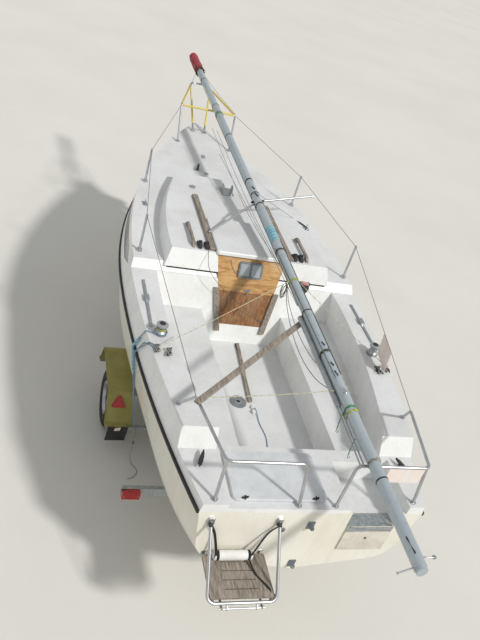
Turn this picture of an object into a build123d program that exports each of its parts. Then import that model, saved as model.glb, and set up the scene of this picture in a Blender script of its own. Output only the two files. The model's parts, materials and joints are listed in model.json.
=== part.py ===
from build123d import *
import math
import os

# A sailing yacht of about 6.5 m that stands on its road trailer, mast lowered and lashed
# fore and aft. X is starboard, Y is forward and Z is up. The origin is on the ground under
# the middle of the load. Lengths are in millimetres. Places on the boat are given from the
# foot of the transom, on the flat joint between the hull and deck mouldings.

os.makedirs("parts", exist_ok=True)

stern_y = -3430             # outer face of the transom
joint_z = 1450              # height of the joint between the mouldings over the ground
seat_gap = 0.3              # air between pieces that only lean on each other

hull_peak = 1235            # greatest half beam, at the joint
hull_stern = 900            # half beam at the transom, at the joint
bow_y = 6360                # stem at the joint, from the transom
peak_y = 2800               # greatest beam, from the transom
hull_wall = 20

deck_peak = 1160            # the deck edge leans in by this much over deck_top
deck_stern = 835
deck_bow_y = 6480           # the stem rakes forward to here at deck_top
deck_top = 410
deck_wall = 25

quarter_z = 80              # small decks each side of the transom
coaming_z = 230             # broad cockpit coamings
side_z = 310                # side decks at their aft end
bow_rise = 90               # rise of the foredeck to the stem
step_aft_y, step_fore_y = 2700, 2760
quarter_y, coaming_y = 520, 600
aft_deck_z = 40
aft_deck_x = 700
trunk_z = 470               # roof of the cabin trunk

seat_z = -80
sole_z = -380
well_x = 430                # half width of the footwell
well_aft_y = 650
bulkhead_foot_y = 2470      # cabin bulkhead at the sole, and how much it leans forward
bulkhead_lean = 0.358

motor_x0, motor_x1 = 270, 760   # outboard well in the starboard quarter
motor_y = 480
motor_z = -150
notch_x0, notch_x1 = 300, 720   # lowered stretch of the transom under the motor pad


def boat(x, y, z):
    """a place on the boat, in the ground frame"""
    return Vector(x, stern_y + y, joint_z + z)


side_view = Plane(origin=(0, stern_y, joint_z), x_dir=(0, 1, 0), z_dir=(1, 0, 0))
ground_view = Plane(origin=(0, stern_y, 0), x_dir=(0, 1, 0), z_dir=(1, 0, 0))


def half_beam(y, peak, stern, tip_y):
    """half breadth of an outline of two arcs that meet at peak_y, square to the beam"""
    if y <= peak_y:
        drop = peak - stern
        radius = (drop ** 2 + peak_y ** 2) / (2 * drop)
    else:
        radius = (peak ** 2 + (tip_y - peak_y) ** 2) / (2 * peak)
    return peak - radius + math.sqrt(radius ** 2 - (y - peak_y) ** 2)


def plan_face(z, peak, stern, tip_y, aft_y, inset):
    """plan outline of the boat at one height, drawn inset from its edge"""
    tip = tip_y - 3 * inset

    def half(y):
        return half_beam(y, peak - inset, stern - inset, tip)

    mid_aft, mid_fore = (aft_y + peak_y) / 2, (peak_y + tip) / 2
    with BuildSketch(Plane(origin=(0, stern_y, joint_z + z))) as plan:
        with BuildLine():
            for side in (1, -1):
                ThreePointArc((side * half(aft_y), aft_y), (side * half(mid_aft), mid_aft),
                              (side * half(peak_y), peak_y))
                ThreePointArc((side * half(peak_y), peak_y),
                              (side * half(mid_fore), mid_fore), (0, tip))
            Line((-half(aft_y), aft_y), (half(aft_y), aft_y))
        make_face()
    return plan.sketch


# y, keel under the joint, knuckle as a share of the half beam, knuckle depth, bilge radius
hull_stations = (
    (0, 670, 0.90, 520, 260),
    (1400, 830, 0.92, 570, 300),
    (2800, 900, 0.93, 600, 330),
    (4100, 880, 0.86, 540, 300),
    (5200, 760, 0.70, 400, 200),
    (5900, 500, 0.60, 240, 90),
    (6300, 90, 0.50, 40, 10),
)


def hull_section(row, inset, top, y_shift=0):
    """cross section of the hull: straight topside, round bilge and a shallow V to the keel"""
    y, keel, share, knuckle, bilge = row
    beam = half_beam(y, hull_peak, hull_stern, bow_y)
    corners = [(0, 1.2 * inset - keel), (share * beam - inset, 0.6 * inset - knuckle),
               (beam - inset, top)]
    face = Plane(origin=(0, stern_y + y + y_shift, joint_z), x_dir=(1, 0, 0), z_dir=(0, -1, 0))
    with BuildSketch(face) as section:
        with BuildLine():
            FilletPolyline(*corners, radius=bilge - min(inset, bilge / 2))
            FilletPolyline(*[(-x, z) for x, z in corners], radius=bilge - min(inset, bilge / 2))
            Line(corners[-1], (-corners[-1][0], corners[-1][1]))
        make_face()
    return section.sketch


def bottom_z(row, x):
    """height of the hull's bottom at a station, over the ground"""
    y, keel, share, knuckle, _ = row
    corner = share * half_beam(y, hull_peak, hull_stern, bow_y)
    return joint_z - keel + (keel - knuckle) * abs(x) / corner


def tube(route, bend, diameter):
    """adds a round tube along straight runs joined by arcs"""
    with BuildLine() as path:
        if len(route) > 2:
            FilletPolyline(*route, radius=bend)
        else:
            Line(*route)
    with BuildSketch(Plane(origin=path.line @ 0, z_dir=path.line % 0)) as profile:
        Circle(diameter / 2)
    sweep(sections=profile.sketch, path=path.line)


def save(part, name):
    part.label = name
    export_step(part, f"parts/{name}.step")


def deck_z(y):
    """height of the sloping fore and side deck"""
    return side_z + bow_rise * (y - step_fore_y) / (deck_bow_y - step_fore_y)


deck_slope = math.atan2(bow_rise, deck_bow_y - step_fore_y)


def deck_plane(x, y):
    """plane that lies on the fore or side deck"""
    return Plane(origin=boat(x, y, deck_z(y)), x_dir=(1, 0, 0),
                 z_dir=(0, -math.sin(deck_slope), math.cos(deck_slope)))


# Hull moulding: a shell from the keel up to the joint, open on top
with BuildPart() as hull_outer:
    loft(sections=[hull_section(row, 0, 0) for row in hull_stations])

with BuildPart() as hull_inner:
    inner_rows = hull_stations[:-1]
    loft(sections=[hull_section(row, hull_wall, 30, hull_wall if row[0] == 0 else 0)
                   for row in inner_rows])

with BuildPart() as hull:
    add(hull_outer.part)
    add(hull_inner.part, mode=Mode.SUBTRACT)
    with BuildSketch(Plane(origin=(0, stern_y, joint_z + motor_z))):
        with Locations(((notch_x0 + notch_x1) / 2, 0)):
            Rectangle(notch_x1 - notch_x0, 4 * hull_wall)
    extrude(amount=-motor_z + 10, mode=Mode.SUBTRACT)
save(hull.part, "hull")


def top_profile(drop, shift):
    """side view of everything above the decks, lowered by drop for the underside"""
    with BuildSketch(side_view) as above:
        with BuildLine():
            Polyline((-60, quarter_z - drop), (quarter_y + shift, quarter_z - drop),
                     (coaming_y + shift, coaming_z - drop),
                     (step_aft_y + shift, coaming_z - drop),
                     (step_fore_y + shift, side_z - drop),
                     (deck_bow_y, side_z + bow_rise - drop), (deck_bow_y, 900), (-60, 900),
                     close=True)
        make_face()
    return above.sketch


trunk_base = ((870, 2600), (862, 3450), (590, 4580))
trunk_roof = ((820, 2600), (812, 3430), (550, 4520))


def trunk_face(corners, z, inset):
    """plan outline of the cabin trunk"""
    with BuildSketch(Plane(origin=(0, stern_y, joint_z + z))) as plan:
        with BuildLine():
            for side in (1, -1):
                ThreePointArc(*[(side * (x - inset), y - inset) for x, y in corners])
            (aft_x, aft_y), _, (fore_x, fore_y) = corners
            Line((inset - aft_x, aft_y - inset), (aft_x - inset, aft_y - inset))
            Line((inset - fore_x, fore_y - inset), (fore_x - inset, fore_y - inset))
        make_face()
    return plan.sketch


def bulkhead_y(z, ahead=0):
    """where the leaning cabin bulkhead stands at one height"""
    return bulkhead_foot_y + bulkhead_lean * (z - sole_z) + ahead


tub_fore, tub_mid, tub_aft = (930, 2900), (915, 1700), (720, coaming_y)


def cockpit(grow):
    """the space of the cockpit, aft deck and outboard well, or that space with its wall"""
    with BuildPart() as space:
        with BuildSketch(Plane(origin=(0, stern_y, joint_z + seat_z - grow))):
            with BuildLine():
                for side in (1, -1):
                    ThreePointArc((side * (tub_fore[0] + grow), tub_fore[1]),
                                  (side * (tub_mid[0] + grow), tub_mid[1]),
                                  (side * (tub_aft[0] + grow), tub_aft[1] - grow))
                Line((-tub_fore[0] - grow, tub_fore[1]), (tub_fore[0] + grow, tub_fore[1]))
                Line((-tub_aft[0] - grow, tub_aft[1] - grow),
                     (tub_aft[0] + grow, tub_aft[1] - grow))
            make_face()
        extrude(amount=900 - seat_z)
        with BuildSketch(Plane(origin=(0, stern_y, joint_z + sole_z - grow))):
            with Locations((0, (well_aft_y - grow + tub_fore[1]) / 2)):
                Rectangle(2 * (well_x + grow), tub_fore[1] - well_aft_y + grow)
        extrude(amount=900 - sole_z)
        with BuildSketch(side_view):
            with BuildLine():
                low, high = sole_z - 2 * deck_wall, 1100
                Polyline((bulkhead_y(low, grow), low), (bulkhead_y(high, grow), high),
                         (3600, high), (3600, low), close=True)
            make_face()
        extrude(amount=2000, both=True, mode=Mode.SUBTRACT)
        with BuildSketch(Plane(origin=(0, stern_y, joint_z + motor_z - grow))):
            with Locations(((motor_x0 + motor_x1) / 2, (motor_y + grow) / 2)):
                Rectangle(motor_x1 - motor_x0 + 2 * grow, motor_y + grow)
        extrude(amount=900 - motor_z)
    return space.part


# Deck moulding: raised topsides, side decks, cabin trunk, cockpit tub and outboard well
with BuildPart() as deck_outer:
    loft(sections=[plan_face(0, hull_peak, hull_stern, bow_y, 0, 0),
                   plan_face(deck_top, deck_peak, deck_stern, deck_bow_y, 0, 0)], ruled=True)
    add(extrude(top_profile(0, 0), amount=2000, both=True, mode=Mode.PRIVATE),
        mode=Mode.SUBTRACT)
    loft(sections=[trunk_face(trunk_base, side_z - 20, 0),
                   trunk_face(trunk_roof, trunk_z, 0)], ruled=True)
    with BuildSketch(Plane(origin=(0, stern_y, joint_z + aft_deck_z))):
        with Locations((0, quarter_y / 2)):
            Rectangle(2 * aft_deck_x, quarter_y + 2 * deck_wall + 120)
    extrude(amount=900, mode=Mode.SUBTRACT)

with BuildPart() as deck_void:
    loft(sections=[plan_face(-5, hull_peak, hull_stern, bow_y, deck_wall, deck_wall),
                   plan_face(deck_top, deck_peak, deck_stern, deck_bow_y, deck_wall, deck_wall)],
         ruled=True)
    add(extrude(top_profile(deck_wall, deck_wall), amount=2000, both=True, mode=Mode.PRIVATE),
        mode=Mode.SUBTRACT)
    loft(sections=[trunk_face(trunk_base, side_z - 60, deck_wall),
                   trunk_face(trunk_roof, trunk_z - deck_wall, deck_wall)], ruled=True)
    with BuildSketch(Plane(origin=(0, stern_y, joint_z + aft_deck_z - deck_wall))):
        with Locations((0, quarter_y / 2)):
            Rectangle(2 * (aft_deck_x + deck_wall), quarter_y + 4 * deck_wall + 120)
    extrude(amount=900, mode=Mode.SUBTRACT)
    add(cockpit(deck_wall), mode=Mode.SUBTRACT)

# the closing boards stand in the bulkhead: heights run up its slope from the sole
bulkhead_tilt = math.atan(bulkhead_lean)
bulkhead_up = math.hypot(1, bulkhead_lean)


def bulkhead_plane(back=0):
    """plane of the bulkhead's cockpit face, its y running up the slope"""
    out = (0, -math.cos(bulkhead_tilt), math.sin(bulkhead_tilt))
    face = Plane(origin=boat(0, bulkhead_foot_y, sole_z), x_dir=(1, 0, 0), z_dir=out)
    return face.offset(-back)


door_foot = (-205 - sole_z) * bulkhead_up
door_seam = (125 - sole_z) * bulkhead_up
door_head = (trunk_z - sole_z) * bulkhead_up
door_foot_x, door_head_x = 236, 365
door_gap = 0.4
door_thick = 15
hatch_y0, hatch_y1 = 2700, 3380     # opening in the roof
hatch_x = 352


def door_x(height):
    """half width of the companionway at a height up the bulkhead"""
    share = (height - door_foot) / (door_head - door_foot)
    return door_foot_x + share * (door_head_x - door_foot_x)


def board_face(low, high, gap, back):
    """a board of the companionway, between two heights"""
    with BuildSketch(bulkhead_plane(back)) as face:
        with BuildLine():
            Polyline((-door_x(low) + gap, low), (door_x(low) - gap, low),
                     (door_x(high) - gap, high), (-door_x(high) + gap, high), close=True)
        make_face()
    return face.sketch


# y and height above the joint of the long tinted window, pointed at its aft end
window_outline = ((2850, 175), (3060, 105), (4250, 118), (4430, 190), (4300, 262), (3060, 250))
window_thick = 8


def window_band(shrink):
    """prism through both topsides in the outline of the window"""
    with BuildPart() as band:
        with BuildSketch(side_view) as outline:
            with BuildLine():
                Polyline(*window_outline, close=True)
            make_face()
            if shrink:
                offset(amount=-shrink)
        extrude(to_extrude=outline.sketch, amount=1400, both=True)
    return band.part


with BuildPart() as deck:
    add(deck_outer.part)
    add(cockpit(deck_wall) & hull_inner.part)
    add(deck_void.part, mode=Mode.SUBTRACT)
    add(cockpit(0), mode=Mode.SUBTRACT)
    extrude(to_extrude=board_face(door_foot, door_head + 60, 0, -30), amount=-140,
            mode=Mode.SUBTRACT)
    with BuildSketch(Plane(origin=(0, stern_y, joint_z + trunk_z - 2 * deck_wall))):
        with Locations((0, (hatch_y0 + hatch_y1) / 2)):
            Rectangle(2 * hatch_x, hatch_y1 - hatch_y0)
    extrude(amount=4 * deck_wall, mode=Mode.SUBTRACT)
    add(window_band(0), mode=Mode.SUBTRACT)
save(deck.part, "deck")
print("deck solids", len(deck.part.solids()), "hull solids", len(hull.part.solids()))

# Rubbing strake: a black rail round the joint, from the transom to the stem
strake_high, strake_out, strake_tip_y = 26, 16, 6200
with BuildPart() as strake:
    for side in (1, -1):
        rims = []
        for out in (-30, strake_out):
            rims.append([(side * (half_beam(y, hull_peak, hull_stern, bow_y) + out), y)
                         for y in (0, peak_y / 2, peak_y, 4500, strake_tip_y)])
        inner_rim, outer_rim = rims
        with BuildSketch(Plane(origin=(0, stern_y, joint_z - strake_high / 2))):
            with BuildLine():
                for rim in rims:
                    ThreePointArc(*rim[:3])
                    ThreePointArc(*rim[2:])
                Line(inner_rim[0], outer_rim[0])
                Line(inner_rim[4], outer_rim[4])
            make_face()
        extrude(amount=strake_high)
    add(hull_outer.part, mode=Mode.SUBTRACT)
    add(deck_outer.part, mode=Mode.SUBTRACT)
save(strake.part, "rubbing_strake")

# Long tinted windows in the raised topsides
with BuildPart() as windows:
    for inset, mode in ((6, Mode.ADD), (6 + window_thick, Mode.SUBTRACT)):
        add(loft([plan_face(-5, hull_peak, hull_stern, bow_y, 10, inset),
                  plan_face(deck_top, deck_peak, deck_stern, deck_bow_y, 10, inset)],
                 ruled=True, mode=Mode.PRIVATE), mode=mode)
    add(window_band(0.5), mode=Mode.INTERSECT)
save(windows.part, "side_windows")

# Stub of the lifting keel, drawn up under the hull
keel_thick, keel_drop = 60, 980
with BuildPart() as keel:
    with BuildSketch(side_view):
        with BuildLine():
            Polyline((2300, -800), (2420, -keel_drop), (3480, -keel_drop), (3700, -800), close=True)
        make_face()
    extrude(amount=keel_thick / 2, both=True)
    add(hull_outer.part, mode=Mode.SUBTRACT)
save(keel.part, "keel_stub")

# Berths each side of the cabin, boards on a front, fitted to the hull
berth_z, berth_thick, aisle_x = -430, 20, 300
with BuildPart() as berths:
    for side in (1, -1):
        with BuildSketch(Plane(origin=boat(0, 0, berth_z - berth_thick))):
            with Locations((side * (aisle_x + 500), 3850)):
                Rectangle(1000, 2500)
        extrude(amount=berth_thick)
        with BuildSketch(Plane(origin=boat(0, 0, -1000))):
            with Locations((side * (aisle_x + berth_thick / 2), 3850)):
                Rectangle(berth_thick, 2500)
        extrude(amount=1000 + berth_z - berth_thick)
    add(hull_inner.part, mode=Mode.INTERSECT)
save(berths.part, "cabin_berths")

# Companionway: two plywood boards in the bulkhead, held by teak rails beside the lower one
for name, low, high in (("washboard_lower", door_foot, door_seam),
                        ("washboard_upper", door_seam + seat_gap, door_head - 4)):
    with BuildPart() as board:
        extrude(to_extrude=board_face(low, high, door_gap, 0), amount=-door_thick)
    save(board.part, name)

door_rail_wide, rail_lap, rail_thick = 46, 10, 24
with BuildPart() as door_rails:
    for side in (1, -1):
        low, high = door_foot - 70, door_seam + 20
        with BuildSketch(bulkhead_plane()):
            with BuildLine():
                Polyline((side * (door_x(low) - rail_lap), low),
                         (side * (door_x(low) + door_rail_wide), low),
                         (side * (door_x(high) + door_rail_wide), high),
                         (side * (door_x(high) - rail_lap), high), close=True)
            make_face()
        extrude(amount=rail_thick)
save(door_rails.part, "door_rails")

vent_x, vent_up = 250, 165
vent_height = (345 - sole_z) * bulkhead_up
with BuildPart() as vent:
    with BuildSketch(bulkhead_plane()):
        with Locations((0, vent_height)):
            RectangleRounded(vent_x, vent_up, 22)
    extrude(amount=20)
    with BuildSketch(bulkhead_plane(-14)):
        with Locations((-vent_x / 4 + 4, vent_height), (vent_x / 4 - 4, vent_height)):
            RectangleRounded(vent_x / 2 - 26, vent_up - 40, 8)
    extrude(amount=20, mode=Mode.SUBTRACT)
save(vent.part, "vent_frame")
with BuildPart() as vent_panes:
    with BuildSketch(bulkhead_plane(-14)):
        with Locations((-vent_x / 4 + 4, vent_height), (vent_x / 4 - 4, vent_height)):
            RectangleRounded(vent_x / 2 - 27, vent_up - 41, 7.5)
    extrude(amount=3)
save(vent_panes.part, "vent_panes")

# Sliding hatch on the roof between two teak runners
hatch_half, hatch_aft, hatch_fore, hatch_high = 382, 2745, 3440, 38
hatch_skin = 12
with BuildPart() as hatch:
    for shrink, base, mode in ((0, 0, Mode.ADD), (hatch_skin, -5, Mode.SUBTRACT)):
        with BuildSketch(Plane(origin=boat(0, 0, trunk_z + seat_gap + base))):
            with Locations((0, (hatch_aft + hatch_fore) / 2)):
                RectangleRounded(2 * (hatch_half - shrink), hatch_fore - hatch_aft - 2 * shrink,
                                 30 - shrink)
        extrude(amount=hatch_high - shrink - base, mode=mode)
    chamfer(hatch.edges().filter_by(Axis.Z, reverse=True).group_by(Axis.Z)[-1], 8)
save(hatch.part, "sliding_hatch")

runner_in, runner_wide, runner_high = hatch_half + 6, 62, 30
with BuildPart() as runners:
    with BuildSketch(Plane(origin=boat(0, 0, trunk_z))):
        for side in (1, -1):
            with Locations((side * (runner_in + runner_wide / 2), 3380)):
                Rectangle(runner_wide, 1160)
    extrude(amount=runner_high)
    chamfer(runners.edges().group_by(Axis.Z)[-1], 6)
save(runners.part, "hatch_runners")

# Grab rails on the roof: a bar on two feet, each side
with BuildPart() as grab_rails:
    for side in (1, -1):
        with BuildSketch(Plane(origin=boat(side * 610 - 13, 0, trunk_z), x_dir=(0, 1, 0),
                               z_dir=(1, 0, 0))):
            with BuildLine():
                Polyline((2810, 0), (2880, 0), (2910, 24), (3200, 24), (3230, 0), (3300, 0),
                         (3250, 48), (2860, 48), close=True)
            make_face()
        extrude(amount=26)
save(grab_rails.part, "grab_rails")

# Mast step on the roof, with the pin holes for the heel
step_y, step_pin = 4200, 6.5
with BuildPart() as mast_step:
    with BuildSketch(Plane(origin=boat(0, step_y, trunk_z))):
        RectangleRounded(150, 190, 15)
    extrude(amount=10)
    for side in (1, -1):
        with BuildSketch(Plane(origin=boat(side * 55 - 4, step_y, trunk_z), x_dir=(0, 1, 0),
                               z_dir=(1, 0, 0))):
            with BuildLine():
                Polyline((-60, 5), (60, 5), (30, 90), (-30, 90), close=True)
            make_face()
            with Locations((0, 62)):
                Circle(step_pin, mode=Mode.SUBTRACT)
        extrude(amount=8)
save(mast_step.part, "mast_step")

# Chainplates on the side decks, an upright plate with the pin hole of the shroud
chain_x, chain_y, chain_pin = 965, 3855, 5.2
with BuildPart() as chainplates:
    for side in (1, -1):
        with BuildSketch(deck_plane(side * chain_x, chain_y)):
            RectangleRounded(50, 90, 12)
        extrude(amount=6)
        with BuildSketch(Plane(origin=boat(side * chain_x - 3, chain_y, deck_z(chain_y)),
                               x_dir=(0, 1, 0), z_dir=(1, 0, 0))):
            with BuildLine():
                Polyline((-22, 3), (22, 3), (16, 52), (-16, 52), close=True)
            make_face()
            with Locations((0, 36)):
                Circle(chain_pin, mode=Mode.SUBTRACT)
        extrude(amount=6)
save(chainplates.part, "chainplates")


def horn_cleat(place, length, turn):
    """a cleat with two horns on a flat plane"""
    with BuildSketch(place) as foot:
        RectangleRounded(length * 0.42, length * 0.2, length * 0.06, rotation=turn)
    extrude(to_extrude=foot.sketch, amount=length * 0.2)
    half = [(length / 2, length * 0.02), (length / 4, length * 0.08)]
    with BuildSketch(place.offset(length * 0.18)) as horns:
        Polygon(*half, *[(-x, y) for x, y in reversed(half)], *[(-x, -y) for x, y in half],
                *[(x, -y) for x, y in reversed(half)], rotation=turn)
    extrude(to_extrude=horns.sketch, amount=length * 0.1)


def level_plane(x, y, z):
    """a level plane at a place on the boat"""
    return Plane(origin=boat(x, y, z))


# Cleats: x, y, height, length, turn on deck
level_cleats = (
    (-845, 390, quarter_z, 165, 70), (845, 390, quarter_z, 165, 110),
    (-985, 1420, coaming_z, 120, 65), (985, 1420, coaming_z, 120, 115),
    (-1080, 1455, coaming_z, 110, 75), (1080, 1455, coaming_z, 110, 105),
)
with BuildPart() as cleats:
    for x, y, z, length, turn in level_cleats:
        horn_cleat(level_plane(x, y, z), length, turn)
    horn_cleat(deck_plane(-200, 4950), 170, 75)
save(cleats.part, "deck_cleats")

# Sheet winches on the coamings: a base with its spindle, and a drum that turns on it
winch_x, winch_y, winch_base = 1025, 1690, 14
spindle_r, drum_bore = 12, 12.3
with BuildPart() as winch_bases:
    for side in (1, -1):
        with BuildSketch(level_plane(side * winch_x, winch_y, coaming_z)):
            Circle(56)
        extrude(amount=winch_base)
        with BuildSketch(level_plane(side * winch_x, winch_y, coaming_z)):
            Circle(spindle_r)
        extrude(amount=winch_base + 70)
save(winch_bases.part, "winch_bases")
for name, side in (("port", -1), ("starboard", 1)):
    with BuildPart() as drum:
        with BuildSketch(Plane(origin=boat(side * winch_x, winch_y, coaming_z + winch_base),
                               x_dir=(1, 0, 0), z_dir=(0, -1, 0))):
            with BuildLine():
                Polyline((drum_bore, seat_gap), (50, seat_gap), (50, 10), (36, 26), (33, 48),
                         (36, 66), (52, 76), (52, 88), (30, 96), (0, 96), (0, 74),
                         (drum_bore, 74), close=True)
            make_face()
        revolve(axis=Axis(boat(side * winch_x, winch_y, coaming_z), (0, 0, 1)))
    save(drum.part, f"winch_drum_{name}")

# Genoa tracks along the outer edge of the coamings, each with its car
with BuildPart() as tracks:
    for side in (1, -1):
        with BuildSketch(level_plane(side * 1095, 2130, coaming_z)):
            Rectangle(26, 720)
        extrude(amount=10)
        with BuildSketch(level_plane(side * 1095, 2180, coaming_z + 10)):
            RectangleRounded(40, 90, 8)
        extrude(amount=24)
save(tracks.part, "genoa_tracks")

# Compass on the bulkhead, starboard of the companionway
compass_height = (245 - sole_z) * bulkhead_up
with BuildPart() as compass:
    with BuildSketch(bulkhead_plane()):
        with Locations((610, compass_height)):
            Circle(58)
    extrude(amount=16)
    with BuildSketch(bulkhead_plane(-16)):
        with Locations((610, compass_height)):
            Circle(46)
    extrude(amount=14, taper=30)
save(compass.part, "compass")

# Rope clutches on the after edge of the roof, with their levers
with BuildPart() as clutches:
    for x in (-475, -545, 475, 545):
        with BuildSketch(Plane(origin=boat(x - 17, 0, trunk_z), x_dir=(0, 1, 0),
                               z_dir=(1, 0, 0))):
            with BuildLine():
                Polyline((2805, 0), (2925, 0), (2925, 22), (2880, 40), (2870, 62), (2850, 62),
                         (2852, 40), (2805, 26), close=True)
            make_face()
        extrude(amount=34)
save(clutches.part, "rope_clutches")

# Small fittings of the foredeck: mooring ring, deck plug and fairlead
with BuildPart() as deck_fittings:
    with BuildSketch(deck_plane(-100, 4860)):
        Circle(26)
    extrude(amount=12)
    with BuildSketch(level_plane(-410, 4180, trunk_z)):
        Circle(34)
    extrude(amount=14)
    with BuildSketch(deck_plane(-60, 5340)):
        RectangleRounded(40, 80, 10)
    extrude(amount=16)
save(deck_fittings.part, "deck_fittings")

# Stanchions, tapered feet on the side decks
stanchion_tube, stanchion_high, foot_r = 24, 400, 30
stanchion_places = [(side * (half_beam(y, deck_peak, deck_stern, deck_bow_y) - 46), y)
                    for y in (4390, 2890) for side in (1, -1)]
with BuildPart() as stanchions:
    for x, y in stanchion_places:
        with BuildSketch(deck_plane(x, y)):
            Circle(foot_r)
        extrude(amount=26, taper=12)
        tube([boat(x, y, deck_z(y) + 10), boat(x, y, deck_z(y) + stanchion_high)], 0,
             stanchion_tube)
save(stanchions.part, "stanchions")

# Pulpit: bow rail with its cross rail, two legs and two front struts
rail_tube = 25
pulpit_x, pulpit_y, pulpit_z = 370, 5900, 806
nose_x, nose_y, nose_z = 115, 6750, 862
with BuildPart() as pulpit:
    tube([boat(-pulpit_x, pulpit_y, pulpit_z), boat(-nose_x, nose_y, nose_z),
          boat(nose_x, nose_y, nose_z), boat(pulpit_x, pulpit_y, pulpit_z)], 70, rail_tube)
    tube([boat(-pulpit_x, pulpit_y, pulpit_z), boat(pulpit_x, pulpit_y, pulpit_z)], 0, rail_tube)
    for side in (1, -1):
        tube([boat(side * pulpit_x, pulpit_y, pulpit_z),
              boat(side * 355, 5700, deck_z(5700) + 12)], 0, rail_tube)
        tube([boat(side * 142, 6660, nose_z - 6), boat(side * 80, 6150, deck_z(6150) + 12)], 0,
             rail_tube)
        for x, y in ((355, 5700), (80, 6150)):
            with BuildSketch(deck_plane(side * x, y)):
                Circle(27)
            extrude(amount=16)
save(pulpit.part, "pulpit")

# Pushpits: x, y, height of the forward foot, the three corners and the inner foot
pushpit_rail_y, pushpit_rail_z = 80, 430
pushpit_route = ((985, 830, coaming_z + 9), (915, 700, pushpit_rail_z),
                 (800, pushpit_rail_y, pushpit_rail_z), (195, pushpit_rail_y, pushpit_rail_z),
                 (150, 30, aft_deck_z + 9))
pushpit_leg = ((790, 100, pushpit_rail_z - 2), (800, 45, quarter_z + 9))
rail_foot_r, rail_foot_high = 22, 13
pushpits = []
for name, side in (("port", -1), ("starboard", 1)):
    with BuildPart() as pushpit:
        tube([boat(side * x, y, z) for x, y, z in pushpit_route], 55, rail_tube)
        tube([boat(side * x, y, z) for x, y, z in pushpit_leg], 0, rail_tube)
        for x, y, z in (pushpit_route[0], pushpit_route[-1], pushpit_leg[1]):
            with BuildSketch(level_plane(side * x, y, z - 9)):
                Circle(rail_foot_r)
            extrude(amount=rail_foot_high)
    save(pushpit.part, f"pushpit_{name}")
    pushpits.append(pushpit.part)

# Lifelines, one wire a side from the pulpit over the stanchions to the pushpit
wire = 5
with BuildPart() as lifelines:
    for side in (1, -1):
        stops = [boat(side * pulpit_x, pulpit_y, pulpit_z)]
        for x, y in stanchion_places:
            if x * side > 0:
                stops.append(boat(x, y, deck_z(y) + stanchion_high - 12))
        corner_x, corner_y, corner_z = pushpit_route[1]
        stops.append(boat(side * corner_x, corner_y, corner_z))
        for start, end in zip(stops, stops[1:]):
            tube([start, end], 0, wire)
    for post in (stanchions.part, pulpit.part, *pushpits):
        add(post, mode=Mode.SUBTRACT)
save(lifelines.part, "lifelines")

# Rudder gudgeons on the transom, each a plate with a bored tongue: heights under the joint
gudgeon_heights = (-136, -600)
gudgeon_bore, gudgeon_out, tongue_half = 12, 34, 18
transom_plane = Plane(origin=boat(0, 0, 0), x_dir=(1, 0, 0), z_dir=(0, -1, 0))
with BuildPart() as gudgeons:
    for z in gudgeon_heights:
        with BuildSketch(transom_plane):
            with Locations((0, z)):
                RectangleRounded(60, 80, 10)
        extrude(amount=5)
        with BuildSketch(level_plane(0, 0, z - 5)):
            with Locations((0, -gudgeon_out / 2)):
                Rectangle(2 * tongue_half, gudgeon_out)
            with Locations((0, -gudgeon_out)):
                Circle(tongue_half)
                Circle(gudgeon_bore / 2, mode=Mode.SUBTRACT)
        extrude(amount=10)
save(gudgeons.part, "gudgeons")

# Motor pad, folded over the lowered transom
pad_x0, pad_x1, pad_thick = notch_x0 + 12, notch_x1 - 12, 12
pad_inner_y, pad_down = 120, 270
with BuildPart() as motor_pad:
    with BuildSketch(Plane(origin=boat(pad_x0, 0, motor_z), x_dir=(0, 1, 0), z_dir=(1, 0, 0))):
        with BuildLine():
            Polyline((pad_inner_y, 0), (pad_inner_y, pad_thick), (-pad_thick, pad_thick),
                     (-pad_thick, -pad_down), (0, -pad_down), (0, 0), close=True)
        make_face()
    extrude(amount=pad_x1 - pad_x0)
save(motor_pad.part, "motor_pad")

# Locker lid in the aft deck, hinged along its forward edge
lid_x0, lid_x1, lid_y0, lid_y1, lid_thick = -650, 95, 62, 535, 24
with BuildPart() as lid:
    with BuildSketch(level_plane((lid_x0 + lid_x1) / 2, (lid_y0 + lid_y1) / 2,
                                 aft_deck_z + seat_gap)):
        RectangleRounded(lid_x1 - lid_x0, lid_y1 - lid_y0, 45)
    extrude(amount=lid_thick)
    chamfer(lid.edges().group_by(Axis.Z)[-1], 6)
save(lid.part, "locker_lid")

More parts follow.
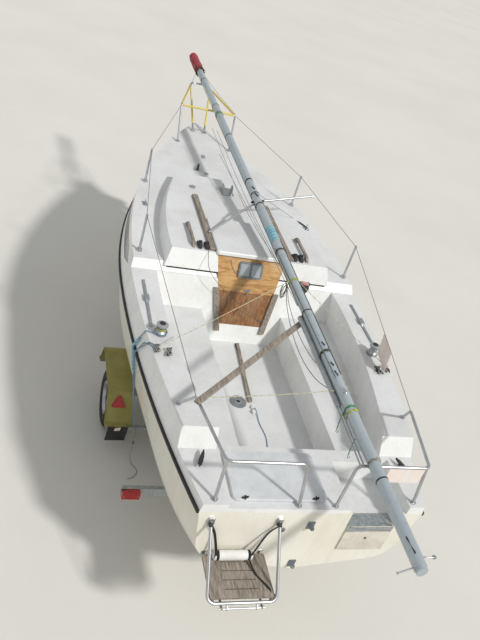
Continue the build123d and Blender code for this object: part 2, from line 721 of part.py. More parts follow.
# Swim platform: a bent tube from the transom round a slatted board, on two arms
platform_x0, platform_x1, platform_out, platform_z = -790, -265, 400, -480
top_bracket_z = -90
arm_inset = 42
ladder_x0, ladder_x1, ladder_y, ladder_z = -640, -415, 424, -510
ladder_pin, ladder_play, lug_thick, lug_r = 14, 0.05, 10, 13
board_thick, board_edge = 22, 10
with BuildPart() as platform:
    tube([boat(platform_x0, -10, top_bracket_z), boat(platform_x0, -platform_out, platform_z),
          boat(platform_x1, -platform_out, platform_z), boat(platform_x1, -10, top_bracket_z)],
         60, rail_tube)
    for x in (platform_x0, platform_x1):
        with BuildSketch(transom_plane):
            with Locations((x, top_bracket_z)):
                RectangleRounded(48, 70, 8)
        extrude(amount=18)
    for x in (platform_x0 + arm_inset, platform_x1 - arm_inset):
        tube([boat(x, -4, platform_z), boat(x, -platform_out, platform_z)], 0, rail_tube)
        with BuildSketch(transom_plane):
            with Locations((x, platform_z + 10)):
                RectangleRounded(44, 70, 8)
        extrude(amount=6)
    for x in (ladder_x0, ladder_x1):
        with BuildSketch(Plane(origin=boat(x - lug_thick / 2, -ladder_y, ladder_z),
                               x_dir=(0, 1, 0), z_dir=(1, 0, 0))):
            Circle(lug_r)
            reach_y, reach_z = ladder_y - platform_out, platform_z - ladder_z
            Polygon((-8, 8), (reach_y - 6, reach_z + 4), (reach_y + 6, reach_z - 4), (8, -8),
                    align=None)
            Circle(ladder_pin / 2 + ladder_play, mode=Mode.SUBTRACT)
        extrude(amount=lug_thick)
save(platform.part, "platform_frame")

with BuildPart() as platform_board:
    board_x0, board_x1 = platform_x0 + rail_tube / 2 + 8, platform_x1 - rail_tube / 2 - 8
    with BuildSketch(level_plane((board_x0 + board_x1) / 2, -platform_out / 2 - 2,
                                 platform_z + rail_tube / 2 + seat_gap)):
        RectangleRounded(board_x1 - board_x0, platform_out - 44, 14)
        with GridLocations(0, 74, 1, 4):
            SlotOverall(250, 9, mode=Mode.SUBTRACT)
    extrude(amount=board_thick)
save(platform_board.part, "platform_board")

# Boarding ladder folded under the platform, hung on its pin
ladder_tube, rung_tube, ladder_long, rung_gap = 20, 18, 300, 95
with BuildPart() as ladder:
    tube([boat(ladder_x0 - 60, -ladder_y, ladder_z), boat(ladder_x1 + 60, -ladder_y, ladder_z)],
         0, ladder_pin)
    for x in (ladder_x0 - 40, ladder_x1 + 40):
        tube([boat(x, -ladder_y - 6, ladder_z), boat(x, ladder_long - ladder_y, ladder_z)], 0,
             ladder_tube)
    for row in range(1, 4):
        y = row * rung_gap - ladder_y
        tube([boat(ladder_x0 - 40, y, ladder_z), boat(ladder_x1 + 40, y, ladder_z)], 0,
             rung_tube)
save(ladder.part, "boarding_ladder")

# White padded roll that lies on the board against the transom
cushion_x0, cushion_x1, cushion_y, cushion_r = -700, -400, -62, 38
with BuildPart() as cushion:
    with BuildSketch(Plane(origin=boat(cushion_x0, cushion_y, platform_z + rail_tube / 2
                                       + board_thick + 2 * seat_gap + cushion_r),
                           x_dir=(0, 1, 0), z_dir=(1, 0, 0))):
        Circle(cushion_r)
    extrude(amount=cushion_x1 - cushion_x0)
    fillet(cushion.edges(), 14)
save(cushion.part, "padded_roll")

# Lowered mast: it rests on the pushpit and on the nose of the pulpit
mast_wide, mast_deep, mast_roll = 85, 105, 16.5
mast_heel_y, mast_head_y = -770, 7615.5
mast_aft_x, mast_fore_x = 285, 42       # where it crosses the two rails
rest_slope = math.atan2(nose_z - pushpit_rail_z, nose_y - pushpit_rail_y)
mast_flat = (mast_deep - mast_wide) / 2     # half the straight stretch of its oval section
mast_low = mast_wide / 2 + mast_flat * math.cos(math.radians(mast_roll))
mast_rest = (mast_low + rail_tube / 2 + seat_gap) / math.cos(rest_slope)


def mast_point(y):
    """point on the mast's axis at a distance from the transom"""
    share = (y - pushpit_rail_y) / (nose_y - pushpit_rail_y)
    return boat(mast_aft_x + share * (mast_fore_x - mast_aft_x), y,
                pushpit_rail_z + share * (nose_z - pushpit_rail_z) + mast_rest)


mast_way = (mast_point(mast_head_y) - mast_point(mast_heel_y)).normalized()


def mast_section(y):
    """plane across the mast, x to starboard and y to the groove side, rolled with the mast"""
    flat = Plane(origin=mast_point(y), x_dir=(mast_way.Y, -mast_way.X, 0), z_dir=mast_way)
    roll = math.radians(mast_roll)
    return Plane(origin=mast_point(y), z_dir=mast_way,
                 x_dir=flat.x_dir * math.cos(roll) - flat.y_dir * math.sin(roll))


def beside_mast(angle, radius, gap):
    """place in the mast's section where a round of this radius just clears it"""
    reach = mast_wide / 2 + radius + gap
    return (reach * math.cos(math.radians(angle)),
            mast_flat + reach * math.sin(math.radians(angle)))


def mast_oval(grow):
    """the mast's section, grown all round"""
    SlotOverall(mast_deep + 2 * grow, mast_wide + 2 * grow, rotation=90)


mast_long = (mast_point(mast_head_y) - mast_point(mast_heel_y)).length
groove_wide, groove_deep = 11, 14
heel_plug, tang_thick, tang_bore = 26, 10, 12.4
with BuildPart() as mast:
    with BuildSketch(mast_section(mast_heel_y)):
        mast_oval(0)
    extrude(amount=mast_long)
    with BuildSketch(mast_section(900)):
        with Locations((0, mast_deep / 2)):
            Rectangle(groove_wide, 2 * groove_deep)
    extrude(amount=mast_long, mode=Mode.SUBTRACT)
    with BuildSketch(mast_section(mast_heel_y)):
        mast_oval(-5)
    extrude(amount=-heel_plug)
    with BuildSketch(Plane(origin=mast_point(mast_heel_y), x_dir=mast_section(0).y_dir,
                           z_dir=mast_section(0).x_dir).offset(-tang_thick / 2)):
        with Locations((0, heel_plug + 20)):
            Circle(24)
        with Locations((0, heel_plug / 2 + 10)):
            Rectangle(48, heel_plug + 20)
        with Locations((0, heel_plug + 20)):
            Circle(tang_bore / 2, mode=Mode.SUBTRACT)
    extrude(amount=tang_thick)
save(mast.part, "mast")

# Spreaders: the port one lies with its tip on the port hatch runner, the starboard one stands out
spreader_tube, spreader_y = 24, 3550
spreader_tips = ((830, 3700, 825), (-420, 3090, trunk_z + runner_high + spreader_tube / 2 + seat_gap))
with BuildPart() as spreaders:
    for x, y, z in spreader_tips:
        tube([mast_point(spreader_y), boat(x, y, z)], 0, spreader_tube)
    add(mast.part, mode=Mode.SUBTRACT)
save(spreaders.part, "spreaders")

# Cloth cover over the masthead, a closed sock
cover_y, cover_wall, cover_end = 7020, 12, 40
with BuildPart() as cover:
    cover_long = (mast_point(mast_head_y) - mast_point(cover_y)).length
    with BuildSketch(mast_section(cover_y)):
        mast_oval(cover_wall)
    extrude(amount=cover_long + cover_end)
    fillet(cover.edges().group_by(Axis.Y)[-1], 10)
    with BuildSketch(mast_section(cover_y)):
        mast_oval(seat_gap)
    extrude(amount=cover_long + seat_gap, mode=Mode.SUBTRACT)
save(cover.part, "masthead_cover")

# Boom lashed under the mast, its after end on two rods that lie on the pushpit
boom_tube, boom_angle, boom_fore_y, boom_aft_y = 50, 155, 1700, 640
rod = 12
with BuildPart() as boom:
    with BuildSketch(mast_section(boom_aft_y)):
        with Locations(beside_mast(boom_angle, boom_tube / 2, seat_gap)):
            Circle(boom_tube / 2)
    extrude(amount=(mast_point(boom_fore_y) - mast_point(boom_aft_y)).length)
    boom_end = mast_section(boom_aft_y).from_local_coords(
        Vector(*beside_mast(boom_angle, boom_tube / 2, seat_gap), 0))
    for shift in (-14, 14):
        tube([boom_end + Vector(shift, 10, 0),
              boat(215 + shift, 50, pushpit_rail_z + rail_tube / 2 + rod / 2 + seat_gap)], 0, rod)
save(boom.part, "boom")

# Prop across the cockpit, from the port pushpit to the fore end of the boom
prop_wide, prop_thick = 52, 22
boom_fore = mast_section(boom_fore_y - 40).from_local_coords(
    Vector(*beside_mast(boom_angle, boom_tube / 2, seat_gap), 0))
prop_stbd = boom_fore - Vector(0, 0, boom_tube / 2 + prop_thick / 2 + 1.7)
prop_port = boat(-930, 610, pushpit_rail_z + rail_tube / 2 + prop_thick / 2 + 0.6)
prop_way = (prop_stbd - prop_port).normalized()
with BuildPart() as prop:
    with BuildSketch(Plane(origin=prop_port, x_dir=(prop_way.Y, -prop_way.X, 0),
                           z_dir=prop_way)):
        RectangleRounded(prop_wide, prop_thick, 6)
    extrude(amount=(prop_stbd - prop_port).length + 30)
save(prop.part, "cross_prop")

# Stays and shrouds gathered along the port side of the lowered mast: angles round it
stay, stay_angles, stay_aft_y, stay_fore_y = 6, (112, 124, 136, 148), 1850, 5700
with BuildPart() as stays:
    with BuildSketch(mast_section(stay_aft_y)):
        for angle in stay_angles:
            with Locations(beside_mast(angle, stay / 2, seat_gap)):
                Circle(stay / 2)
    extrude(amount=(mast_point(stay_fore_y) - mast_point(stay_aft_y)).length)
    add(spreaders.part, mode=Mode.SUBTRACT)
save(stays.part, "stay_bundle")

# Two bare sign boards: one hangs from the starboard lifeline, one from the pushpit rail
sign_along = 790            # from the pushpit corner to the middle of the first board
with BuildPart() as signs:
    line_aft = boat(pushpit_route[1][0], pushpit_route[1][1], pushpit_route[1][2])
    line_fore = boat(stanchion_places[2][0], stanchion_places[2][1],
                     deck_z(stanchion_places[2][1]) + stanchion_high - 12)
    line_way = (line_fore - line_aft).normalized()
    hook = line_aft + line_way * sign_along
    with BuildSketch(Plane(origin=hook, x_dir=line_way, z_dir=(line_way.Y, -line_way.X, 0.17))):
        with Locations((0, -wire / 2 - seat_gap - 125)):
            RectangleRounded(250, 250, 8)
    extrude(amount=1.5, both=True)
    with BuildSketch(Plane(origin=boat(620, pushpit_rail_y, pushpit_rail_z
                                       - rail_tube / 2 - seat_gap - 75),
                           x_dir=(1, 0, 0), z_dir=(0, -1, 0))):
        RectangleRounded(300, 150, 8)
    extrude(amount=1.5, both=True)
save(signs.part, "blank_signs")


def ground(x, y, z):
    """a place with its height over the ground and y from the transom"""
    return Vector(x, stern_y + y, z)


def bar(start, end, wide, high):
    """adds a straight rectangular bar between two points, level across"""
    way = (end - start).normalized()
    side = Vector(way.Y, -way.X, 0).normalized() if abs(way.Z) < 0.99 else Vector(1, 0, 0)
    with BuildSketch(Plane(origin=start, x_dir=side, z_dir=way)) as end_face:
        Rectangle(wide, high)
    extrude(to_extrude=end_face.sketch, amount=(end - start).length)


# Trailer frame: two rails that run together into the drawbar, and its cross members
rail_x, rail_wide, rail_high, rail_z = 450, 50, 80, 390
rail_aft_y, rail_turn_y, draw_y, draw_end_y = 950, 4300, 6500, 7250
draw_wide = 80
cross_ys = (1400, 2350, 3700)
guard_arm_ys, guard_arm_x, guard_arm = (1845, 2855), 1270, 40
light_bar_z, light_bar_y, light_bar_x = 500, 975, 1200
# rollers: y from the transom, height of what they carry
roller_r, roller_wide, roller_gap, cheek = 35, 110, 0.6, 8
roller_rows = ((hull_stations[1][0], joint_z - hull_stations[1][1]), (2560, joint_z - keel_drop),
               (3340, joint_z - keel_drop), (hull_stations[4][0], joint_z - hull_stations[4][1]))
pad_rows = (hull_stations[1], hull_stations[3])
pad_below, pad_size, pad_long, pad_post = 45, 110, 260, 40
jockey_x, jockey_y, jockey_r, sleeve_r, sleeve_play = 95, 6950, 24, 31, 0.08
with BuildPart() as frame:
    for side in (1, -1):
        bar(ground(side * rail_x, rail_aft_y, rail_z), ground(side * rail_x, rail_turn_y, rail_z),
            rail_wide, rail_high)
        bar(ground(side * rail_x, rail_turn_y - 6, rail_z), ground(side * 30, draw_y, rail_z),
            rail_wide, rail_high)
        bar(ground(side * rail_x, rail_aft_y + 25, rail_z),
            ground(side * rail_x, rail_aft_y + 25, light_bar_z), 40, 40)
    for y in cross_ys:
        bar(ground(-rail_x, y, rail_z), ground(rail_x, y, rail_z), rail_wide, rail_high - 10)
    fore_y = hull_stations[4][0]
    bar(ground(-280, fore_y, rail_z), ground(280, fore_y, rail_z), rail_wide, rail_high - 10)
    for y in guard_arm_ys:
        bar(ground(-guard_arm_x, y, rail_z), ground(guard_arm_x, y, rail_z), guard_arm, guard_arm)
    bar(ground(0, draw_y - 250, rail_z), ground(0, draw_end_y, rail_z), draw_wide, rail_high)
    bar(ground(-light_bar_x, light_bar_y, light_bar_z),
        ground(light_bar_x, light_bar_y, light_bar_z), 40, 90)
    for y, top in roller_rows:
        axis_z = top - roller_r - roller_gap
        nearest = min(cross_ys + (fore_y,), key=lambda place: abs(place - y))
        for side in (1, -1):
            x = side * (roller_wide / 2 + seat_gap + cheek / 2) - cheek / 2
            with BuildSketch(Plane(origin=ground(x, 0, 0), x_dir=(0, 1, 0), z_dir=(1, 0, 0))):
                with BuildLine():
                    Polyline((nearest - 20, rail_z - 20), (nearest + 20, rail_z - 20),
                             (y + 26, axis_z - 22), (y + 16, axis_z + 12), (y - 16, axis_z + 12),
                             (y - 26, axis_z - 22), close=True)
                make_face()
            extrude(amount=cheek)
    for row in pad_rows:
        for side in (1, -1):
            foot = bottom_z(row, rail_x) - pad_below
            bar(ground(side * rail_x, row[0], rail_z), ground(side * rail_x, row[0], foot),
                pad_post, pad_post)
    bar(ground(draw_wide / 2 - 5, jockey_y, rail_z), ground(jockey_x - 10, jockey_y, rail_z), 50, 70)
    with BuildSketch(Plane(origin=ground(jockey_x, jockey_y, rail_z - 60))):
        Circle(sleeve_r)
    extrude(amount=120)
    with BuildSketch(Plane(origin=ground(jockey_x, jockey_y, rail_z - 60))):
        Circle(jockey_r + sleeve_play)
    extrude(amount=120, mode=Mode.SUBTRACT)
save(frame.part, "trailer_frame")

lamp_x, lamp_wide, lamp_high, lamp_deep = 1120, 160, 80, 50
with BuildPart() as lamps:
    for side in (1, -1):
        with BuildSketch(Plane(origin=ground(side * lamp_x, light_bar_y - 20, light_bar_z),
                               x_dir=(1, 0, 0), z_dir=(0, -1, 0))):
            RectangleRounded(lamp_wide, lamp_high, 8)
        extrude(amount=lamp_deep)
    chamfer(lamps.edges().group_by(Axis.Y)[0], 5)
save(lamps.part, "rear_lamps")

# Axle: a beam under the rails, and a trailing arm and a stub shaft for each wheel
wheel_x, wheel_y, tyre_r, tyre_wide = 1155, 2350, 300, 185
beam_y, beam_x, beam_high = 2465, 950, 80
beam_z = rail_z - rail_high / 2 - beam_high / 2
arm_thick, stub_r, stub_out = 24, 17, 1172
with BuildPart() as axle:
    bar(ground(-beam_x, beam_y, beam_z), ground(beam_x, beam_y, beam_z), 60, beam_high)
    for side in (1, -1):
        with BuildSketch(Plane(origin=ground(side * beam_x - arm_thick / 2, 0, 0),
                               x_dir=(0, 1, 0), z_dir=(1, 0, 0))):
            with BuildLine():
                Polyline((wheel_y - 35, tyre_r - 32), (wheel_y + 10, tyre_r - 40),
                         (beam_y + 30, beam_z - 38), (beam_y + 30, beam_z + 38),
                         (beam_y - 30, beam_z + 38), (wheel_y - 35, tyre_r + 30), close=True)
            make_face()
        extrude(amount=arm_thick)
        with BuildSketch(Plane(origin=ground(side * (beam_x - 5), wheel_y, tyre_r),
                               x_dir=(0, 1, 0), z_dir=(side, 0, 0))):
            Circle(stub_r)
        extrude(amount=stub_out - beam_x + 5)
save(axle.part, "axle")

# Wheels: a pressed rim with its hub on the stub, and the tyre round it
rim_r, hub_r, hub_bore = 172, 46, stub_r + seat_gap
# x from the wheel's middle, and radius
tyre_points = ((-70, rim_r + seat_gap), (-86, rim_r + 26), (-92.5, rim_r + 66), (-84, tyre_r - 16),
               (-66, tyre_r), (66, tyre_r), (84, tyre_r - 16), (92.5, rim_r + 66),
               (86, rim_r + 26), (70, rim_r + seat_gap))
for name, side in (("left", -1), ("right", 1)):
    axis_plane = Plane(origin=ground(side * wheel_x, wheel_y, tyre_r), x_dir=(side, 0, 0),
                       z_dir=(0, -side, 0))
    with BuildPart() as rim:
        with BuildSketch(axis_plane):
            with BuildLine():
                Polyline((-78, rim_r), (-78, rim_r - 22), (-52, rim_r - 36), (4, rim_r - 36),
                         (14, rim_r - 56), (20, hub_r + 34), (8, hub_r + 8), (-60, hub_r),
                         (-60, hub_bore), (20, hub_bore), (20, 0), (46, 0), (46, hub_r - 8),
                         (24, hub_r + 4), (32, hub_r + 34), (26, rim_r - 52), (30, rim_r - 36),
                         (52, rim_r - 36), (78, rim_r - 22), (78, rim_r), (60, rim_r),
                         (44, rim_r - 16), (-44, rim_r - 16), (-60, rim_r), close=True)
            make_face()
        revolve(axis=Axis(ground(side * wheel_x, wheel_y, tyre_r), (1, 0, 0)))
    save(rim.part, f"wheel_{name}")
    with BuildPart() as tyre:
        with BuildSketch(axis_plane):
            with BuildLine():
                Polyline(*tyre_points, close=True)
            make_face()
        revolve(axis=Axis(ground(side * wheel_x, wheel_y, tyre_r), (1, 0, 0)))
    save(tyre.part, f"tyre_{name}")

# Mudguards: a folded sheet over each wheel that stands on the two arms
guard_x0, guard_x1, guard_top, guard_thick = 1030, 1280, 690, 4
guard_foot_z = rail_z + guard_arm / 2
guard_line = ((1820, guard_foot_z), (1872, guard_foot_z), (2020, guard_top), (2680, guard_top),
              (2828, guard_foot_z), (2880, guard_foot_z))
with BuildPart() as guards:
    for side in (1, -1):
        with BuildSketch(Plane(origin=ground(side * (guard_x0 + guard_x1) / 2, 0, 0),
                               x_dir=(0, 1, 0), z_dir=(1, 0, 0))) as sheet:
            with BuildLine():
                Polyline(*guard_line, *[(y, z + guard_thick) for y, z in reversed(guard_line)],
                         close=True)
            make_face()
        extrude(amount=(guard_x1 - guard_x0) / 2, both=True)
save(guards.part, "mudguards")

# Rollers under the keel on their brackets
with BuildPart() as rollers:
    for y, top in roller_rows:
        with BuildSketch(Plane(origin=ground(-roller_wide / 2, y, top - roller_r - roller_gap),
                               x_dir=(0, 1, 0), z_dir=(1, 0, 0))):
            Circle(roller_r)
        extrude(amount=roller_wide)
save(rollers.part, "keel_rollers")

# Side pads that follow the bottom of the hull
with BuildPart() as pads:
    for row in pad_rows:
        for side in (1, -1):
            middle = bottom_z(row, rail_x) - pad_below + pad_size / 2
            bar(ground(side * rail_x, row[0] - pad_long / 2, middle),
                ground(side * rail_x, row[0] + pad_long / 2, middle), pad_size, pad_size)
    add(hull_outer.part, mode=Mode.SUBTRACT)
save(pads.part, "side_pads")

# Winch post on the drawbar with the bow stop
post_y, post_top, post_size = 6420, 1330, 60
with BuildPart() as winch_post:
    bar(ground(0, post_y, rail_z + rail_high / 2), ground(0, post_y, post_top), post_size, post_size)
    bar(ground(0, post_y - 20, 1000), ground(0, post_y + 150, 1000), 120, 12)
    with BuildSketch(Plane(origin=ground(-45, post_y + 90, 1075), x_dir=(0, 1, 0),
                           z_dir=(1, 0, 0))):
        Circle(50)
    extrude(amount=90)
    for x in (-53, 45):
        with BuildSketch(Plane(origin=ground(x, post_y + 90, 0), x_dir=(0, 1, 0),
                               z_dir=(1, 0, 0))):
            with BuildLine():
                Polyline((-45, 1000), (45, 1000), (30, 1110), (-30, 1110), close=True)
            make_face()
        extrude(amount=8)
save(winch_post.part, "winch_post")
with BuildPart() as bow_stop:
    bar(ground(0, post_y - 260, post_top - 45), ground(0, post_y - post_size / 2, post_top - 45), 90, 90)
    add(hull_outer.part, mode=Mode.SUBTRACT)
save(bow_stop.part, "bow_stop")

# Coupling head: a socket for the ball under a handle
ball_r = 25.2
coupling_y = 7400
with BuildPart() as coupling:
    with BuildSketch(Plane(origin=ground(0, coupling_y, rail_z - 10))):
        Circle(44)
        with Locations((0, (draw_end_y - coupling_y) / 2)):
            Rectangle(70, coupling_y - draw_end_y)
    extrude(amount=62)
    with Locations(ground(0, coupling_y, rail_z + 2)):
        Sphere(ball_r, mode=Mode.SUBTRACT)
    with BuildSketch(Plane(origin=ground(0, coupling_y, rail_z - 20))):
        Circle(ball_r)
    extrude(amount=22, mode=Mode.SUBTRACT)
    bar(ground(0, coupling_y + 10, rail_z + 62), ground(0, coupling_y - 170, rail_z + 84), 26, 20)
    bar(ground(0, coupling_y, rail_z + 48), ground(0, coupling_y, rail_z + 66), 26, 26)
save(coupling.part, "coupling_head")

# Jockey wheel: a leg that turns in its sleeve, a fork and the wheel
wheel_axle_z, jockey_wheel_r, jockey_wheel_wide, trail = 100, 100, 50, 40
leg_foot_z, leg_top_z, collar = wheel_axle_z + jockey_wheel_r + 18, 760, 20
sleeve_top_z = rail_z + 60
pin_r, fork_cheek, fork_room = 10, 6, 6
with BuildPart() as leg:
    with BuildSketch(Plane(origin=ground(jockey_x, jockey_y, leg_foot_z))):
        Circle(jockey_r)
    extrude(amount=leg_top_z - leg_foot_z)
    with BuildSketch(Plane(origin=ground(jockey_x, jockey_y, sleeve_top_z + seat_gap))):
        Circle(sleeve_r + 3)
    extrude(amount=collar)
    bar(ground(jockey_x, jockey_y, leg_top_z - 4), ground(jockey_x + 120, jockey_y, leg_top_z - 4),
        16, 12)
    bar(ground(jockey_x + 112, jockey_y, leg_top_z - 8),
        ground(jockey_x + 112, jockey_y, leg_top_z + 80), 24, 24)
    fork_x = jockey_wheel_wide / 2 + fork_room
    with BuildSketch(Plane(origin=ground(jockey_x, jockey_y - trail / 2, leg_foot_z - 8))):
        RectangleRounded(2 * (fork_x + fork_cheek), trail + 56, 10)
    extrude(amount=10)
    for side in (1, -1):
        x = jockey_x + side * (fork_x + fork_cheek / 2) - fork_cheek / 2
        with BuildSketch(Plane(origin=ground(x, jockey_y, 0), x_dir=(0, 1, 0), z_dir=(1, 0, 0))):
            with BuildLine():
                Polyline((24, leg_foot_z), (-trail - 24, leg_foot_z), (-trail - 18, wheel_axle_z - 16),
                         (-trail + 18, wheel_axle_z - 16), close=True)
            make_face()
        extrude(amount=fork_cheek)
    with BuildSketch(Plane(origin=ground(jockey_x - fork_x, jockey_y - trail, wheel_axle_z),
                           x_dir=(0, 1, 0), z_dir=(1, 0, 0))):
        Circle(pin_r)
    extrude(amount=2 * fork_x)
save(leg.part, "jockey_leg")
with BuildPart() as jockey_wheel:
    with BuildSketch(Plane(origin=ground(jockey_x, jockey_y - trail, wheel_axle_z),
                           x_dir=(1, 0, 0), z_dir=(0, -1, 0))):
        with BuildLine():
            half = jockey_wheel_wide / 2
            Polyline((-half - 5, pin_r + sleeve_play), (-half - 5, 24), (-10, 30),
                     (-10, 62), (-half, 68), (-half, jockey_wheel_r - 10),
                     (-half + 10, jockey_wheel_r), (half - 10, jockey_wheel_r),
                     (half, jockey_wheel_r - 10), (half, 68), (10, 62), (10, 30),
                     (half + 5, 24), (half + 5, pin_r + sleeve_play), close=True)
        make_face()
    revolve(axis=Axis(ground(jockey_x, jockey_y - trail, wheel_axle_z), (1, 0, 0)))
save(jockey_wheel.part, "jockey_wheel")

# Round plate in the sole of the cockpit
with BuildPart() as sole_plate:
    with BuildSketch(level_plane(-172, 1563, sole_z)):
        Circle(80)
        Circle(18, mode=Mode.SUBTRACT)
    extrude(amount=8)
save(sole_plate.part, "sole_plate")
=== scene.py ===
import json
import math

import bmesh
import bpy
import numpy as np
from mathutils import Matrix, Vector
from mathutils.bvhtree import BVHTree


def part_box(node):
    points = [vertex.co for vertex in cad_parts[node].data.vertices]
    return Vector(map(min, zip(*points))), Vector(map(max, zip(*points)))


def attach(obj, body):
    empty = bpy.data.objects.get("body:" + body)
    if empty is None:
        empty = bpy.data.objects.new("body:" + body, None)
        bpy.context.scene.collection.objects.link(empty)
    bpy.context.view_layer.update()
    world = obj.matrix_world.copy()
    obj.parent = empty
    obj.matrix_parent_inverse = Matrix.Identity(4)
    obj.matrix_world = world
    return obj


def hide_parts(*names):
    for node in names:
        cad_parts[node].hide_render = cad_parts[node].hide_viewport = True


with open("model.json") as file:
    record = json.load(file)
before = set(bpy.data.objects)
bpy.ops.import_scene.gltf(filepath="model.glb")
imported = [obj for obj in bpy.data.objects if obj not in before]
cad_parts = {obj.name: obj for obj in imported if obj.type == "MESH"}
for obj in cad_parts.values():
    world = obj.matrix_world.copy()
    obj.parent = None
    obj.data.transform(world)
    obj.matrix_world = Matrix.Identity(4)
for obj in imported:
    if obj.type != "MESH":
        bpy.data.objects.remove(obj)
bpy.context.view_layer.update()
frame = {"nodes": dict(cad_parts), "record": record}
cadNodes = frame["nodes"]
print("frame loaded:", len(cadNodes), "nodes")


# where the transom and the hull joint lie in the frame
transomY, jointZ = -3.43, 1.45


def boat(*place):
    # millimetres from the transom, the centre line and the hull joint, to metres in the frame
    return np.array(place, float) / 1000 + np.array((0, transomY, jointZ))


def ground(*place):
    # the same, with the height over the ground
    return np.array(place, float) / 1000 + np.array((0, transomY, 0))


# the mast: two points of its axis in boat millimetres, its roll, and its section in metres
mastLine = {"aft": (285, 80, 495), "fore": (42, 6750, 927), "rollDeg": -16.5, "wide": 0.085, "deep": 0.105}
mastAft, mastFore = boat(*mastLine["aft"]), boat(*mastLine["fore"])
mastWay = mastFore - mastAft
mastWay /= np.linalg.norm(mastWay)
mastLevel = np.array((mastWay[1], -mastWay[0], 0)) / math.hypot(mastWay[0], mastWay[1])
mastUp = np.cross(mastLevel, mastWay)
# the section's short and long axes, after the mast's roll, and half of its straight stretch
rollBy = math.radians(mastLine["rollDeg"])
mastSide = math.cos(rollBy) * mastLevel - math.sin(rollBy) * mastUp
mastTop = math.sin(rollBy) * mastLevel + math.cos(rollBy) * mastUp
mastFlat = (mastLine["deep"] - mastLine["wide"]) / 2


def mastPoint(y):
    # the point of the mast's axis that is y millimetres ahead of the transom
    aftY, foreY = mastLine["aft"][1], mastLine["fore"][1]
    return mastAft + (np.asarray(y, float)[..., None] - aftY) / (foreY - aftY) * (mastFore - mastAft)


def mastRing(y, degrees, reach):
    # round the mast: axis point + reach * (cos a * level + sin a * up), a counted from starboard
    a = np.radians(np.asarray(degrees, float))[..., None]
    return mastPoint(y) + reach * (np.cos(a) * mastLevel + np.sin(a) * mastUp)


def linearColour(hexText):
    # sRGB hex to the linear numbers that a shader wants
    s = np.array([int(hexText[i:i + 2], 16) for i in (1, 3, 5)]) / 255
    s = np.where(s <= 0.04045, s / 12.92, ((s + 0.055) / 1.055) ** 2.4)
    return (*[float(c) for c in s], 1.0)


def addNode(tree, kind, inputs=None, stops=None, **settings):
    # one shader node with its settings, its ramp stops and what feeds its sockets
    node = tree.nodes.new("ShaderNode" + kind)
    for key, value in settings.items():
        setattr(node, key, value)
    if stops:
        while len(node.color_ramp.elements) < len(stops):
            node.color_ramp.elements.new(0.5)
        for element, (place, tone) in zip(node.color_ramp.elements, stops):
            element.position = place
            element.color = linearColour(tone)
    for socket, value in (inputs or {}).items():
        if isinstance(value, bpy.types.NodeSocket):
            tree.links.new(value, node.inputs[socket])
        else:
            node.inputs[socket].default_value = value
    return node


def startMaterial(look):
    # a material with its tree and shader, and the plain settings that the look names
    material = bpy.data.materials.new(look["name"])
    material.use_nodes = True
    tree = material.node_tree
    shader = tree.nodes["Principled BSDF"]
    plain = {"metallic": "Metallic", "ior": "IOR", "coat": "Coat Weight", "coatRough": "Coat Roughness",
             "clear": "Transmission Weight", "sheen": "Sheen Weight", "sheenRough": "Sheen Roughness",
             "specular": "Specular IOR Level"}
    for key, socket in plain.items():
        if key in look:
            shader.inputs[socket].default_value = look[key]
    material.diffuse_color = linearColour(look["base"])
    return material, tree, shader


def linkSurface(tree, shader, look, colour, wear, height, strength, deep, span=(0, 1)):
    # into the shader: the colour, a roughness between two values by the wear, and a bump of the height
    tree.links.new(colour, shader.inputs["Base Color"])
    rough = addNode(tree, "MapRange", {"Value": wear, "From Min": span[0], "From Max": span[1],
                                       "To Min": look["rough"][0], "To Max": look["rough"][1]})
    tree.links.new(rough.outputs[0], shader.inputs["Roughness"])
    bump = addNode(tree, "Bump", {"Height": height, "Strength": strength, "Distance": deep})
    tree.links.new(bump.outputs[0], shader.inputs["Normal"])


def mottled(look):
    # moulded, cast, rolled or painted stuff: broad patches between two tones, fine grit or
    # orange peel as bump, and stains that run down or lie in spots
    material, tree, shader = startMaterial(look)
    place = addNode(tree, "TexCoord").outputs["Object"]
    drawn = addNode(tree, "Mapping", {"Vector": place, "Scale": look.get("stretch", (1, 1, 1))}).outputs[0]
    patch = addNode(tree, "TexNoise", {"Vector": drawn, "Scale": 1000 / look["patchMm"], "Detail": 5.0,
                                       "Roughness": 0.62}).outputs["Fac"]
    grain = addNode(tree, "TexNoise", {"Vector": place, "Scale": 1000 / look["grainMm"],
                                       "Detail": 3.0}).outputs["Fac"]
    tone = addNode(tree, "ValToRGB", {"Fac": patch}, stops=[(0.38, look["base"]), (0.66, look["worn"])])
    speck = addNode(tree, "MapRange", {"Value": grain, "From Min": 0.55, "From Max": 0.75, "To Min": 0.0,
                                       "To Max": look.get("speck", 0.15)}).outputs[0]
    mixed = addNode(tree, "Mix", {0: speck, 6: tone.outputs["Color"], 7: linearColour(look["dirtAndCreviceShade"])},
                    data_type="RGBA").outputs[2]
    runs = addNode(tree, "Mapping", {"Vector": place, "Scale": (1, 1, look.get("runLong", 0.12))}).outputs[0]
    streak = addNode(tree, "TexNoise", {"Vector": runs, "Scale": 1000 / look.get("runMm", 90),
                                        "Detail": 6.0, "Roughness": 0.7}).outputs["Fac"]
    stain = addNode(tree, "MapRange", {"Value": streak, "From Min": 0.5, "From Max": 0.78, "To Min": 0.0,
                                       "To Max": look.get("stain", 0.2)}).outputs[0]
    mixed = addNode(tree, "Mix", {0: stain, 6: mixed, 7: linearColour(look["dirtAndCreviceShade"])},
                    data_type="RGBA").outputs[2]
    linkSurface(tree, shader, look, mixed, patch, grain, look.get("bump", 0.3), look["grainMm"] / 4000,
                (0.3, 0.7))
    return material


